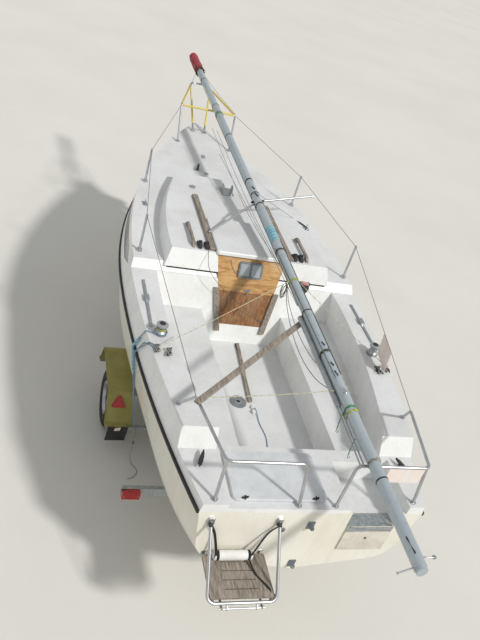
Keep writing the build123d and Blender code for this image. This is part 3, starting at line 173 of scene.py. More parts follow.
def nonSlipDeck(look):
    # gelcoat out of a polished mould, with a sand-like non-slip moulded into the level faces: those are
    # quite matt and carry a pale grey tint of painted shade, uprights stay glossy
    material = mottled(look)
    tree = material.node_tree
    shader = tree.nodes["Principled BSDF"]
    place = addNode(tree, "TexCoord").outputs["Object"]
    facing = addNode(tree, "NewGeometry").outputs["Normal"]
    upright = addNode(tree, "SeparateXYZ", {0: facing}).outputs["Z"]
    level = addNode(tree, "MapRange", {"Value": upright, "From Min": 0.955, "From Max": 0.985}).outputs[0]
    cells = addNode(tree, "TexVoronoi", {"Vector": place, "Scale": 1000 / look["cellMm"]},
                    feature="DISTANCE_TO_EDGE").outputs["Distance"]
    plain = shader.inputs["Base Color"].links[0].from_socket
    # painted shade: the level faces are multiplied by a pale grey
    shadedLevel = addNode(tree, "Mix", {0: level, 6: plain, 7: linearColour(look["levelShadeTint"])},
                     data_type="RGBA", blend_type="MULTIPLY").outputs[2]
    tree.links.new(shadedLevel, shader.inputs["Base Color"])
    lift = addNode(tree, "Math", {0: cells, 1: level}, operation="MULTIPLY").outputs[0]
    under = shader.inputs["Normal"].links[0].from_socket
    bump = addNode(tree, "Bump", {"Height": lift, "Strength": 0.5, "Distance": 0.0015, "Normal": under})
    tree.links.new(bump.outputs[0], shader.inputs["Normal"])
    smooth = shader.inputs["Roughness"].links[0].from_socket
    matt = addNode(tree, "Mix", {0: level, 2: smooth, 3: 0.62}, data_type="FLOAT").outputs[0]
    tree.links.new(matt, shader.inputs["Roughness"])
    return material


def grained(look):
    # sawn or peeled wood: long figure stretched along the grain, fine pores, greyed or varnished
    material, tree, shader = startMaterial(look)
    place = addNode(tree, "TexCoord").outputs["Object"]
    drawn = addNode(tree, "Mapping", {"Vector": place, "Scale": look["along"]}).outputs[0]
    figure = addNode(tree, "TexNoise", {"Vector": drawn, "Scale": 1000 / look["figureMm"], "Detail": 6.0,
                                        "Roughness": 0.55, "Distortion": look.get("swirl", 0.6)}).outputs[0]
    pores = addNode(tree, "TexNoise", {"Vector": drawn, "Scale": 1000 / look["poreMm"], "Detail": 4.0,
                                       "Roughness": 0.7}).outputs[0]
    tone = addNode(tree, "ValToRGB", {"Fac": figure},
                   stops=[(0.3, look["dark"]), (0.5, look["base"]), (0.68, look["pale"])]).outputs["Color"]
    line = addNode(tree, "MapRange", {"Value": pores, "From Min": 0.52, "From Max": 0.72, "To Min": 0.0,
                                      "To Max": look.get("pore", 0.55)}).outputs[0]
    tone = addNode(tree, "Mix", {0: line, 6: tone, 7: linearColour(look["dark"])},
                   data_type="RGBA").outputs[2]
    patch = addNode(tree, "TexNoise", {"Vector": place, "Scale": 1000 / look.get("patchMm", 160),
                                       "Detail": 4.0}).outputs[0]
    bleach = addNode(tree, "MapRange", {"Value": patch, "From Min": 0.45, "From Max": 0.7, "To Min": 0.0,
                                        "To Max": look.get("bleach", 0.35)}).outputs[0]
    tone = addNode(tree, "Mix", {0: bleach, 6: tone, 7: linearColour(look["worn"])},
                   data_type="RGBA").outputs[2]
    linkSurface(tree, shader, look, tone, patch, pores, look.get("bump", 0.4), 0.0008)
    return material


def spangled(look):
    # hot-dipped zinc: flat crystals a centimetre or two across, each its own grey, dull where it has
    # weathered, and rust bleeding out of the worst spots
    material, tree, shader = startMaterial(look)
    place = addNode(tree, "TexCoord").outputs["Object"]
    crystal = addNode(tree, "TexVoronoi", {"Vector": place, "Scale": 1000 / look["cellMm"],
                                           "Randomness": 1.0}).outputs["Color"]
    grey = addNode(tree, "SeparateColor", {0: crystal}).outputs[0]
    tone = addNode(tree, "ValToRGB", {"Fac": grey}, stops=[(0.1, look["base"]), (0.9, look["worn"])])
    spots = addNode(tree, "TexNoise", {"Vector": place, "Scale": 1000 / look["patchMm"], "Detail": 8.0,
                                       "Roughness": 0.7}).outputs["Fac"]
    rust = addNode(tree, "MapRange", {"Value": spots, "From Min": 0.58, "From Max": 0.72, "To Min": 0.0,
                                      "To Max": look.get("rust", 0.5)}).outputs[0]
    mixed = addNode(tree, "Mix", {0: rust, 6: tone.outputs["Color"], 7: linearColour(look["dirtAndCreviceShade"])},
                    data_type="RGBA").outputs[2]
    linkSurface(tree, shader, look, mixed, grey, spots, 0.25, 0.001)
    return material


def woven(look):
    # plain-woven or coated cloth: two crossed waves of threads from the piece's own UV map, faded patches,
    # and painted shade between the threads
    material, tree, shader = startMaterial(look)
    place = addNode(tree, "TexCoord")
    threads = []
    for axis in ("X", "Y"):
        threads.append(addNode(tree, "TexWave",
                               {"Vector": place.outputs["UV"], "Scale": 1000 / look["threadMm"] / 20,
                                "Distortion": 0.6, "Detail": 1.0}, bands_direction=axis).outputs["Fac"])
    weave = addNode(tree, "Math", {0: threads[0], 1: threads[1]}, operation="MULTIPLY").outputs[0]
    patch = addNode(tree, "TexNoise", {"Vector": place.outputs["Object"], "Scale": 1000 / look["patchMm"],
                                       "Detail": 5.0}).outputs["Fac"]
    tone = addNode(tree, "ValToRGB", {"Fac": patch}, stops=[(0.35, look["base"]), (0.68, look["worn"])])
    # painted shade: darker between the threads, mixed towards the look's dark colour
    dark = addNode(tree, "MapRange", {"Value": weave, "To Min": look.get("depth", 0.25),
                                      "To Max": 0.0}).outputs[0]
    mixed = addNode(tree, "Mix", {0: dark, 6: tone.outputs["Color"], 7: linearColour(look["dirtAndCreviceShade"])},
                    data_type="RGBA").outputs[2]
    linkSurface(tree, shader, look, mixed, patch, weave, look.get("bump", 0.35), 0.0006)
    return material


def laid(look):
    # rope, wire or taped tube: strands that wind round it, from the UV map (u in metres along, v once
    # round), with painted shade in the grooves between them
    material, tree, shader = startMaterial(look)
    place = addNode(tree, "TexCoord")
    winding = (1000 / look["layMm"], look.get("strands", 3), 1)
    turned = addNode(tree, "Mapping", {"Vector": place.outputs["UV"], "Scale": winding}).outputs[0]
    split = addNode(tree, "SeparateXYZ", {0: turned})
    slant = addNode(tree, "Math", {0: split.outputs[0], 1: split.outputs[1]}, operation="ADD").outputs[0]
    wave = addNode(tree, "Math", {0: slant, 1: 0.5}, operation="PINGPONG").outputs[0]
    strand = addNode(tree, "MapRange", {"Value": wave, "From Min": 0.0, "From Max": 0.22}).outputs[0]
    fleck = addNode(tree, "Math", {0: slant, 1: look.get("fleckEvery", 4.0)}, operation="MODULO").outputs[0]
    flecks = addNode(tree, "MapRange", {"Value": fleck, "From Min": look.get("fleckAt", 3.0),
                                        "From Max": look.get("fleckAt", 3.0) + 0.05, "To Min": 0.0,
                                        "To Max": look.get("fleckMost", 1.0)}).outputs[0]
    patch = addNode(tree, "TexNoise", {"Vector": place.outputs["Object"], "Scale": 1000 / 60.0,
                                       "Detail": 4.0}).outputs["Fac"]
    tone = addNode(tree, "ValToRGB", {"Fac": patch}, stops=[(0.35, look["base"]), (0.66, look["worn"])])
    mixed = addNode(tree, "Mix", {0: flecks, 6: tone.outputs["Color"], 7: linearColour(look["fleck"])},
                    data_type="RGBA").outputs[2]
    # painted shade: the grooves between the strands are mixed towards the look's dark colour
    groove = addNode(tree, "MapRange", {"Value": strand, "To Min": 0.6, "To Max": 0.0}).outputs[0]
    mixed = addNode(tree, "Mix", {0: groove, 6: mixed, 7: linearColour(look["dirtAndCreviceShade"])},
                    data_type="RGBA").outputs[2]
    linkSurface(tree, shader, look, mixed, patch, strand, 0.6, 0.001)
    return material


finishes = {
    # gelcoat sprayed in a polished mould: glossy, yellowed to cream, chalky in broad patches
    "gelcoat": mottled({"name": "creamGelcoat", "base": "#EDEADF", "worn": "#E2DECD", "dirtAndCreviceShade": "#AFA890",
                        "patchMm": 700, "grainMm": 30, "bump": 0.03, "rough": (0.22, 0.42), "coat": 0.35,
                        "coatRough": 0.12, "speck": 0.05, "stain": 0.22, "runMm": 60, "runLong": 0.1,
                        "ior": 1.5}),
    "deckgelcoat": nonSlipDeck({"name": "nonSlipGelcoat", "base": "#EEEFED", "worn": "#E2E2DF",
                                "dirtAndCreviceShade": "#8F8E86", "patchMm": 420, "grainMm": 16, "bump": 0.04,
                                "rough": (0.28, 0.5), "speck": 0.06, "stain": 0.16, "runMm": 45,
                                # the pale grey for the level faces is painted shade
                                "runLong": 0.4, "levelShadeTint": "#E9EAEC", "cellMm": 9, "ior": 1.5}),
    # extruded rubber, dull black with grey scuffs
    "black_rubber": mottled({"name": "mouldedRubber", "base": "#1D1D1E", "worn": "#37373A",
                             "dirtAndCreviceShade": "#6A675F", "patchMm": 90, "grainMm": 3, "bump": 0.25,
                             "rough": (0.6, 0.85), "speck": 0.25}),
    # cast acrylic, dark tint, mirror smooth
    "tinted_window": mottled({"name": "tintedAcrylic", "base": "#1E2428", "worn": "#262C30",
                              "dirtAndCreviceShade": "#50555A", "patchMm": 260, "grainMm": 8, "bump": 0.0,
                              "rough": (0.04, 0.12), "clear": 0.25, "ior": 1.49, "speck": 0.03,
                              "stain": 0.1, "coat": 0.6, "coatRough": 0.05}),
    "painted_iron": mottled({"name": "brushPaintedIron", "base": "#3A3C3F", "worn": "#4A4644",
                             "dirtAndCreviceShade": "#7A4B2C", "patchMm": 120, "grainMm": 7, "bump": 0.6,
                             "rough": (0.55, 0.8), "speck": 0.5, "stain": 0.5}),
    "berth_board": grained({"name": "birchPlywood", "base": "#C8A878", "dark": "#9A7A4E", "pale": "#D9BE92",
                            "worn": "#CDB28A", "along": (1, 0.15, 1), "figureMm": 60, "poreMm": 5,
                            "rough": (0.35, 0.55)}),
    # sun-bleached varnish on rotary-cut ply: orange tan with blurred rings, paler in worn patches
    "plywood": grained({"name": "varnishedPlywood", "base": "#C0935A", "dark": "#97693A", "pale": "#D6AE78",
                        "worn": "#DCC09A", "along": (0.35, 1, 1.6), "figureMm": 75, "poreMm": 6,
                        "swirl": 1.6, "rough": (0.3, 0.6), "bleach": 0.45, "coat": 0.25, "coatRough": 0.3}),
    "dark_plywood": grained({"name": "darkVarnishedPlywood", "base": "#8D5F36", "dark": "#5E3820",
                             "pale": "#A87B4C", "worn": "#9C8264", "along": (1.6, 1, 0.3), "figureMm": 55,
                             "poreMm": 5, "swirl": 1.2, "rough": (0.28, 0.6), "bleach": 0.4, "coat": 0.3,
                             "coatRough": 0.25}),
    # bare teak left to the weather: silver grey, open dark pores along the grain
    "grey_teak": grained({"name": "weatheredTeak", "base": "#8E8478", "dark": "#5B5148", "pale": "#A79E92",
                          "worn": "#9F968C", "along": (1, 0.12, 1), "figureMm": 14, "poreMm": 3, "pore": 0.7,
                          "rough": (0.7, 0.9), "bump": 0.8}),
    "grey_plastic": mottled({"name": "greyAbs", "base": "#6E7376", "worn": "#83888A", "dirtAndCreviceShade": "#4C4E4F",
                             "patchMm": 60, "grainMm": 2.5, "bump": 0.2, "rough": (0.45, 0.6)}),
    "pale_pane": mottled({"name": "frostedAcrylic", "base": "#CBD6DB", "worn": "#B7C3C6", "dirtAndCreviceShade": "#8E9992",
                          "patchMm": 45, "grainMm": 4, "bump": 0.15, "rough": (0.25, 0.45), "clear": 0.35,
                          "ior": 1.49, "stain": 0.35, "runMm": 20}),
    # drawn and polished marine stainless: bright, with brown tea stains in streaks
    "stainless": mottled({"name": "polishedStainless", "base": "#C9CBCD", "worn": "#B4B6B8",
                          "dirtAndCreviceShade": "#7A6A58", "patchMm": 150, "grainMm": 6, "bump": 0.03,
                          "rough": (0.24, 0.4), "metallic": 1.0, "speck": 0.1, "stain": 0.2, "runMm": 40}),
    # anodised extrusion: bluish silver, chalked, with long drawn streaks
    "mast_aluminium": mottled({"name": "anodisedAluminium", "base": "#BFC9CE", "worn": "#ADB8BE",
                               "dirtAndCreviceShade": "#7C8286", "patchMm": 160, "grainMm": 5, "bump": 0.08,
                               "rough": (0.34, 0.52), "metallic": 0.45, "stretch": (1, 0.06, 1),
                               "speck": 0.15, "stain": 0.3, "runMm": 60, "runLong": 1}),
    "alloy": mottled({"name": "satinAluminium", "base": "#B9BDBF", "worn": "#A5A9AB", "dirtAndCreviceShade": "#6B6C6A",
                      "patchMm": 80, "grainMm": 4, "bump": 0.1, "rough": (0.3, 0.5), "metallic": 0.9,
                      "speck": 0.2, "stain": 0.2}),
    "black_nylon": mottled({"name": "blackNylon", "base": "#202123", "worn": "#3A3B3D", "dirtAndCreviceShade": "#6F6D68",
                            "patchMm": 30, "grainMm": 2, "bump": 0.2, "rough": (0.45, 0.7), "speck": 0.2}),
    "wire": laid({"name": "laidSteelWire", "base": "#A9AAA8", "worn": "#8F908E", "fleck": "#A9AAA8",
                  "dirtAndCreviceShade": "#4C4B49", "layMm": 14, "strands": 6, "metallic": 0.85, "rough": (0.3, 0.5)}),
    "grey_nonslip": mottled({"name": "nonSlipLid", "base": "#D3D6D8", "worn": "#C3C6C8", "dirtAndCreviceShade": "#8B8B86",
                             "patchMm": 200, "grainMm": 5, "bump": 0.45, "rough": (0.5, 0.7),
                             "speck": 0.25}),
    "pad_grey": mottled({"name": "paintedPlywoodPad", "base": "#DAD5C9", "worn": "#C9C0B2",
                         "dirtAndCreviceShade": "#8F8475", "patchMm": 120, "grainMm": 4, "bump": 0.3,
                         "rough": (0.6, 0.8)}),
    "white_padding": woven({"name": "coatedCloth", "base": "#EDEDEA", "worn": "#DDDDD6", "dirtAndCreviceShade": "#8E8C84",
                            "patchMm": 70, "threadMm": 3, "depth": 0.12, "rough": (0.5, 0.7), "sheen": 0.2}),
    "red_cloth": woven({"name": "redSailcloth", "base": "#B3202F", "worn": "#9A1B2A", "dirtAndCreviceShade": "#4E1119",
                        "patchMm": 90, "threadMm": 4, "depth": 0.35, "rough": (0.7, 0.9), "sheen": 0.12}),
    "pale_board": mottled({"name": "paintedBoard", "base": "#F0DCD2", "worn": "#E9E5E0", "dirtAndCreviceShade": "#B8A79C",
                           "patchMm": 140, "grainMm": 4, "bump": 0.06, "rough": (0.4, 0.6)}),
    "galvanised": spangled({"name": "galvanisedSteel", "base": "#9DA3A6", "worn": "#B6BBBD",
                            "dirtAndCreviceShade": "#7B4A2B", "cellMm": 16, "patchMm": 70, "metallic": 0.8,
                            "rough": (0.38, 0.58)}),
    "tyre": mottled({"name": "tyreRubber", "base": "#1C1C1C", "worn": "#2C2B2A", "dirtAndCreviceShade": "#77705F",
                     "patchMm": 120, "grainMm": 5, "bump": 0.3, "rough": (0.75, 0.95), "speck": 0.3,
                     "stain": 0.3}),
    "olive_plastic": mottled({"name": "oliveMudguardPlastic", "base": "#8E8740", "worn": "#A0985A",
                              "dirtAndCreviceShade": "#55502C", "patchMm": 180, "grainMm": 3, "bump": 0.15,
                              "rough": (0.45, 0.65), "speck": 0.2, "stain": 0.35}),
    # moulded lens: clear red over a prismed back
    "red_lens": mottled({"name": "redLens", "base": "#B5161B", "worn": "#9A1015", "dirtAndCreviceShade": "#5A0A0C",
                         "patchMm": 30, "grainMm": 6, "bump": 0.5, "rough": (0.12, 0.25), "coat": 0.5,
                         "ior": 1.49}),
}
finishes["black_rope_gear"] = finishes["black_nylon"]
slotOf = {row["node"]: row["material_slot"] for row in frame["record"]["subparts"]}
for nodeName, cadNode in cadNodes.items():
    cadNode.data.materials.clear()
    cadNode.data.materials.append(finishes[slotOf[nodeName]])
# cast fittings, duller than the tubes
finishes["cast_fitting"] = mottled({"name": "castStainless", "base": "#8E9499", "worn": "#7C8287",
                                    "dirtAndCreviceShade": "#54504A", "patchMm": 40, "grainMm": 3, "bump": 0.2,
                                    "rough": (0.45, 0.6), "metallic": 0.8, "speck": 0.2})
cadNodes["gudgeons"].data.materials[0] = finishes["cast_fitting"]
# drums turned and bead-blasted, so the sun spreads on them
finishes["satin_drum"] = mottled({"name": "blastedStainless", "base": "#BFC3C6", "worn": "#ABAFB2",
                                  "dirtAndCreviceShade": "#6B6760", "patchMm": 50, "grainMm": 2, "bump": 0.1,
                                  "rough": (0.42, 0.58), "metallic": 0.8})
for drumName in ("winch_drum_port", "winch_drum_starboard"):
    cadNodes[drumName].data.materials[0] = finishes["satin_drum"]
print("materials on the carried-over nodes")


def gridSurface(points, aroundU=False, aroundV=False, along=None):
    # a grid of points (m, n, 3); u runs along the first axis, v along the second; along gives u in metres
    points = np.asarray(points, float)
    m, n = points.shape[:2]
    if along is None:
        steps = np.linalg.norm(np.diff(points.mean(1), axis=0), axis=1)
        along = np.concatenate(([0], np.cumsum(steps)))
    u = np.arange(m if aroundU else m - 1)
    v = np.arange(n if aroundV else n - 1)
    u, v = (grid.ravel() for grid in np.meshgrid(u, v, indexing="ij"))
    corners = np.stack([u * n + v, (u + 1) % m * n + v, (u + 1) % m * n + (v + 1) % n,
                        u * n + (v + 1) % n], 1)
    along = np.append(along, along[-1] + (along[-1] - along[-2]))
    uvs = np.stack([np.stack([along[u], along[u + 1], along[u + 1], along[u]], 1),
                    np.stack([v, v, v + 1, v + 1], 1) / n], 2)
    return {"points": points.reshape(-1, 3), "faces": corners, "uvs": uvs.reshape(-1, 2)}


def pathFrame(path, lean):
    # along a path: unit tangents, and two unit normals, the first square to the tangent and the lean vector
    way = np.gradient(path, axis=0)
    way /= np.linalg.norm(way, axis=1)[:, None]
    side = np.cross(way, np.asarray(lean, float))
    side /= np.linalg.norm(side, axis=1)[:, None]
    return way, side, np.cross(side, way)


def tube(path, radius, sides=10, lean=(0, 0, 1), closed=True):
    # path point + radius * (cos a * side + sin a * up), with a collapsed ring at each end to close it
    path = np.asarray(path, float)
    way, side, up = pathFrame(path, lean)
    radius = np.broadcast_to(np.asarray(radius, float), (len(path),)).copy()
    if closed:
        path = np.concatenate((path[:1], path, path[-1:]))
        side = np.concatenate((side[:1], side, side[-1:]))
        up = np.concatenate((up[:1], up, up[-1:]))
        radius = np.concatenate(([0], radius, [0]))
    a = np.linspace(0, 2 * np.pi, sides, endpoint=False)[None, :, None]
    rings = path[:, None] + radius[:, None, None] * (np.cos(a) * side[:, None] + np.sin(a) * up[:, None])
    steps = np.linalg.norm(np.diff(path, axis=0), axis=1)
    return gridSurface(rings, aroundV=True, along=np.concatenate(([0], np.cumsum(steps))))


def turned(profile, origin, axis, sides=24, closed=True):
    # a lathe: origin + height * axis + radius * (cos a * p + sin a * q) for rows (radius, height)
    profile = np.asarray(profile, float)
    axis = np.asarray(axis, float) / np.linalg.norm(axis)
    p = np.cross(axis, (0, 0, 1) if abs(axis[2]) < 0.9 else (1, 0, 0))
    p /= np.linalg.norm(p)
    q = np.cross(axis, p)
    a = np.linspace(0, 2 * np.pi, sides, endpoint=False)[None, :, None]
    around = np.cos(a) * p + np.sin(a) * q
    rings = np.asarray(origin, float) + profile[:, 1, None, None] * axis + profile[:, 0, None, None] * around
    return gridSurface(rings, aroundU=not closed, aroundV=True)


def slab(outline, thick, origin, right, up, edge=0.0015):
    # a flat plate with rounded rims: the outline (k, 2) about its own middle, inset by the rim at both faces
    outline = np.asarray(outline, float)
    right, up = (np.asarray(v, float) / np.linalg.norm(v) for v in (right, up))
    out = np.cross(right, up)
    middle = outline.mean(0)
    reachOut = np.linalg.norm(outline - middle, axis=1)[:, None]
    inset = middle + (outline - middle) * (1 - edge / reachOut)
    rows = [(middle + (outline - middle) * 0, 0), (inset, 0), (outline, edge), (outline, thick - edge),
            (inset, thick), (middle + (outline - middle) * 0, thick)]
    rings = np.stack([np.asarray(origin) + row[:, :1] * right + row[:, 1:] * up + high * out
                      for row, high in rows])
    return gridSurface(rings, aroundV=True)


def roundedBox(wide, high, corner, steps=4):
    # outline of a rectangle with round corners, counted anticlockwise
    a = np.linspace(0, np.pi / 2, steps)
    arc = np.stack((np.cos(a), np.sin(a)), 1) * corner
    cx, cy = wide / 2 - corner, high / 2 - corner
    turns = [((1, 0), (0, 1), cx, cy), ((0, -1), (1, 0), -cx, cy), ((-1, 0), (0, -1), -cx, -cy),
             ((0, 1), (-1, 0), cx, -cy)]
    return np.concatenate([arc @ np.array((p, q)) + (x, y) for p, q, x, y in turns])


def joined(surfaces):
    # several surfaces as one, with their face numbers moved on
    starts = np.cumsum([0] + [len(s["points"]) for s in surfaces[:-1]])
    return {"points": np.concatenate([s["points"] for s in surfaces]),
            "faces": np.concatenate([s["faces"] + start for s, start in zip(surfaces, starts)]),
            "uvs": np.concatenate([s["uvs"] for s in surfaces])}


def copied(surface, shifts):
    # the same surface at many places, as whole arrays
    shifts = np.asarray(shifts, float)
    count, size = len(shifts), len(surface["points"])
    return {"points": (surface["points"][None] + shifts[:, None]).reshape(-1, 3),
            "faces": (surface["faces"][None] + (np.arange(count) * size)[:, None, None]).reshape(-1, 4),
            "uvs": np.tile(surface["uvs"], (count, 1))}


# the slot of the record for a finish that has no slot of its own name
slotFor = {"dark_rope": "black_nylon", "black_webbing": "black_nylon", "cream_rope": "red_cloth",
           "blue_rope": "red_cloth", "green_rope": "red_cloth", "lime_rope": "red_cloth",
           "grey_rope": "red_cloth", "brown_wire": "red_cloth", "yellow_tape": "stainless",
           "satin_drum": "stainless"}


def addPiece(name, surfaces, finish, slot=None, body="root", sharp=40):
    # a mesh object at the origin from surfaces, doubles merged and faces turned outwards
    slot = slot or slotFor.get(finish, finish)
    surface = joined(surfaces) if isinstance(surfaces, list) else surfaces
    mesh = bpy.data.meshes.new(name)
    mesh.from_pydata(surface["points"], [], surface["faces"].tolist())
    layer = mesh.uv_layers.new(name="UVMap")
    layer.data.foreach_set("uv", surface["uvs"].astype(np.float32).ravel())
    work = bmesh.new()
    work.from_mesh(mesh)
    bmesh.ops.remove_doubles(work, verts=work.verts, dist=1e-6)
    bmesh.ops.dissolve_degenerate(work, edges=work.edges, dist=1e-7)
    bmesh.ops.recalc_face_normals(work, faces=work.faces)
    work.to_mesh(mesh)
    work.free()
    mesh.shade_smooth()
    mesh.set_sharp_from_angle(angle=math.radians(sharp))
    mesh.materials.append(finishes[finish])
    piece = bpy.data.objects.new(name, mesh)
    bpy.context.scene.collection.objects.link(piece)
    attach(piece, body)
    return piece


def strung(ends, sag=0.0, steps=14):
    # a line between two points that hangs by sag in its middle: straight line minus 4 s t (1 - t)
    start, end = (np.asarray(p, float) for p in ends)
    t = np.linspace(0, 1, steps)[:, None]
    return start + t * (end - start) - 4 * sag * t * (1 - t) * np.array((0, 0, 1))


def smoothRoute(points, steps=10):
    # Catmull-Rom through the points: all spans at once, from the four neighbours of each
    p = np.asarray(points, float)
    p = np.concatenate((2 * p[:1] - p[1:2], p, 2 * p[-1:] - p[-2:-1]))
    a, b, c, d = p[:-3, None], p[1:-2, None], p[2:-1, None], p[3:, None]
    t = np.linspace(0, 1, steps, endpoint=False)[None, :, None]
    spans = 0.5 * (2 * b + (c - a) * t + (2 * a - 5 * b + 4 * c - d) * t ** 2
                   + (3 * b - a - 3 * c + d) * t ** 3)
    return np.concatenate((spans.reshape(-1, 3), p[-2:-1]))


# a sock of red sailcloth pulled over the masthead: round the axis at angle a, its reach is the mast's
# oval plus slack, with lengthwise gathers that deepen towards the tied mouth and a domed end
cover = {"fromY": 7024, "toY": 7640, "slack": 0.017, "gather": 0.0045, "folds": 9, "tieY": 7085,
         "tieIn": 0.013}
u = np.linspace(0, 1, 90)
v = np.linspace(0, 2 * np.pi, 120, endpoint=False)
uu, vv = np.meshgrid(u, v, indexing="ij")
oval = np.sqrt((mastLine["wide"] / 2 * np.cos(vv)) ** 2 + (mastLine["deep"] / 2 * np.sin(vv)) ** 2)
yy = cover["fromY"] + uu * (cover["toY"] - cover["fromY"])
folds = np.sin(cover["folds"] * vv + 1.5 * np.sin(3 * vv) + 2.5 * uu) * cover["gather"] * (1.15 - 0.8 * uu)
creases = 0.0018 * np.sin(23 * uu + 2 * np.sin(vv)) * np.sin(5 * vv + 9 * uu)
tied = cover["tieIn"] * np.exp(-((yy - cover["tieY"]) / 16) ** 2)
domed = np.sqrt(np.clip(1 - np.clip((uu - 0.9) / 0.1, 0, 1) ** 2, 0, 1))
reachAll = (oval + cover["slack"] + folds + creases - tied) * domed
place = mastPoint(yy) + reachAll[..., None] * (np.cos(vv + rollBy)[..., None] * mastLevel
                                               - np.sin(vv + rollBy)[..., None] * mastUp)
redCover = addPiece("mastheadCover", gridSurface(place, aroundV=True, along=u * 0.62), "red_cloth", sharp=80)
wall = redCover.modifiers.new("clothWall", "SOLIDIFY")
wall.thickness, wall.offset = 0.0012, 1.0
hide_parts("masthead_cover")
print("masthead cover")


def trianglesOf(*names):
    # the joined mesh of some CAD nodes, as a tree that rays can be cast at
    points, faces, start = [], [], 0
    for name in names:
        mesh = cadNodes[name].data
        co = np.zeros(len(mesh.vertices) * 3, np.float32)
        mesh.vertices.foreach_get("co", co)
        corners = np.zeros(len(mesh.loops), np.int32)
        mesh.loops.foreach_get("vertex_index", corners)
        points.append(co.reshape(-1, 3))
        faces.append(corners.reshape(-1, 3) + start)
        start += len(mesh.vertices)
    return BVHTree.FromPolygons(np.concatenate(points).tolist(), np.concatenate(faces).tolist())


boatSkin = trianglesOf("hull", "deck", "rubbing_strake", "sliding_hatch", "locker_lid")


def landOn(origin, direction, gap=0.0, tree=boatSkin):
    # the point where a ray meets the boat, pulled back by gap, and the surface's normal there
    hit, normal = tree.ray_cast(Vector(origin), Vector(direction))[:2]
    if hit is None:
        raise ValueError(f"a ray from {tuple(origin)} meets nothing")
    back = Vector(direction).normalized()
    normal = normal if normal.dot(back) < 0 else -normal
    return np.array(hit - back * gap), np.array(normal)


finishes.update({
    # vinyl tape wound in overlapping turns: satin, each edge a thin line of painted shade
    "yellow_tape": laid({"name": "yellowVinylTape", "base": "#E6CF63", "worn": "#D8C27A", "fleck": "#E6CF63",
                         "dirtAndCreviceShade": "#8F7B33", "layMm": 22, "strands": 1, "rough": (0.4, 0.6)}),
    "blue_tape": laid({"name": "blueVinylTape", "base": "#7FB3C6", "worn": "#8FC3CE", "fleck": "#7FB3C6",
                       "dirtAndCreviceShade": "#3E6F7E", "layMm": 48, "strands": 1, "rough": (0.35, 0.55)}),
    # three-strand polyester: cream or coloured, with painted shade between the strands
    "cream_rope": laid({"name": "creamPolyesterRope", "base": "#D9D2B4", "worn": "#C5BE9F",
                        "fleck": "#9C9470", "dirtAndCreviceShade": "#6C664C", "layMm": 16, "strands": 3,
                        "rough": (0.75, 0.9)}),
    "blue_rope": laid({"name": "blueBraidedRope", "base": "#3F6F96", "worn": "#5C87A6", "fleck": "#C9D3D8",
                       "dirtAndCreviceShade": "#1F3B52", "layMm": 12, "strands": 6, "rough": (0.7, 0.9), "fleckEvery": 3.0,
                       "fleckAt": 2.2}),
    "green_rope": laid({"name": "greenShockCord", "base": "#1F7A5A", "worn": "#2E8F6C", "fleck": "#D8E3A8",
                        "dirtAndCreviceShade": "#0E3F2F", "layMm": 9, "strands": 8, "rough": (0.65, 0.85),
                        "fleckEvery": 5.0, "fleckAt": 4.3}),
    "lime_rope": laid({"name": "limePolyesterRope", "base": "#C9C86A", "worn": "#B4B45C", "fleck": "#6E8F4B",
                       "dirtAndCreviceShade": "#5F6130", "layMm": 14, "strands": 4, "rough": (0.7, 0.9)}),
    "grey_rope": laid({"name": "greyBraidedRope", "base": "#8C8B84", "worn": "#74736C", "fleck": "#B9B8AE",
                       "dirtAndCreviceShade": "#3C3B37", "layMm": 12, "strands": 5, "rough": (0.75, 0.9)}),
    "dark_rope": laid({"name": "darkBraidedRope", "base": "#33332F", "worn": "#4A4942", "fleck": "#8E8B7C",
                       "dirtAndCreviceShade": "#141412", "layMm": 12, "strands": 5, "rough": (0.7, 0.9)}),
    # printed card under a scratched acrylic dome, a sun-faded pink red
    "compass_card": mottled({"name": "fadedCompassCard", "base": "#A85F5E", "worn": "#B98381",
                             "dirtAndCreviceShade": "#6E4746", "patchMm": 14, "grainMm": 2, "bump": 0.02,
                             "rough": (0.1, 0.2), "coat": 0.8}),
    "brown_wire": mottled({"name": "brownFlex", "base": "#5A3B28", "worn": "#6E4C36", "dirtAndCreviceShade": "#33241A",
                           "patchMm": 40, "grainMm": 2, "bump": 0.1, "rough": (0.5, 0.7)}),
    # flat woven webbing, black, ribs across with painted shade between them
    "black_webbing": woven({"name": "blackWebbing", "base": "#1E1E20", "worn": "#303033", "dirtAndCreviceShade": "#0B0B0C",
                            "patchMm": 60, "threadMm": 2.5, "depth": 0.5, "rough": (0.7, 0.9), "bump": 0.6}),
})

# tape wound round the pulpit, on each run between two places from one share to another
tapeWrap = {"grow": 0.0011, "rail": 0.0125}
corner = [boat(side * 370, 5900, 806) for side in (-1, 1)]
nose = [boat(side * 115, 6750, 862) for side in (-1, 1)]
strutTop = [boat(side * 142, 6660, 856) for side in (-1, 1)]
strutFoot = [boat(side * 80, 6150, 411) for side in (-1, 1)]
wraps = []
for a, b, from0, to1 in [(corner[0], nose[0], 0.03, 0.87), (corner[1], nose[1], 0.03, 0.87),
                         (corner[0], corner[1], 0.02, 0.98), (strutTop[0], strutFoot[0], 0.06, 0.86),
                         (strutTop[1], strutFoot[1], 0.06, 0.86)]:
    t = np.linspace(from0, to1, 80)[:, None]
    ripple = 1 + 0.012 * np.sin(np.arange(80) * 1.9)
    wraps.append(tube(a + t * (b - a), (tapeWrap["rail"] + tapeWrap["grow"]) * ripple, 16,
                      lean=(0.3, 0.2, 1) if abs((b - a)[2]) < 0.2 else (1, 0.2, 0)))
addPiece("pulpitTape", wraps, "yellow_tape")


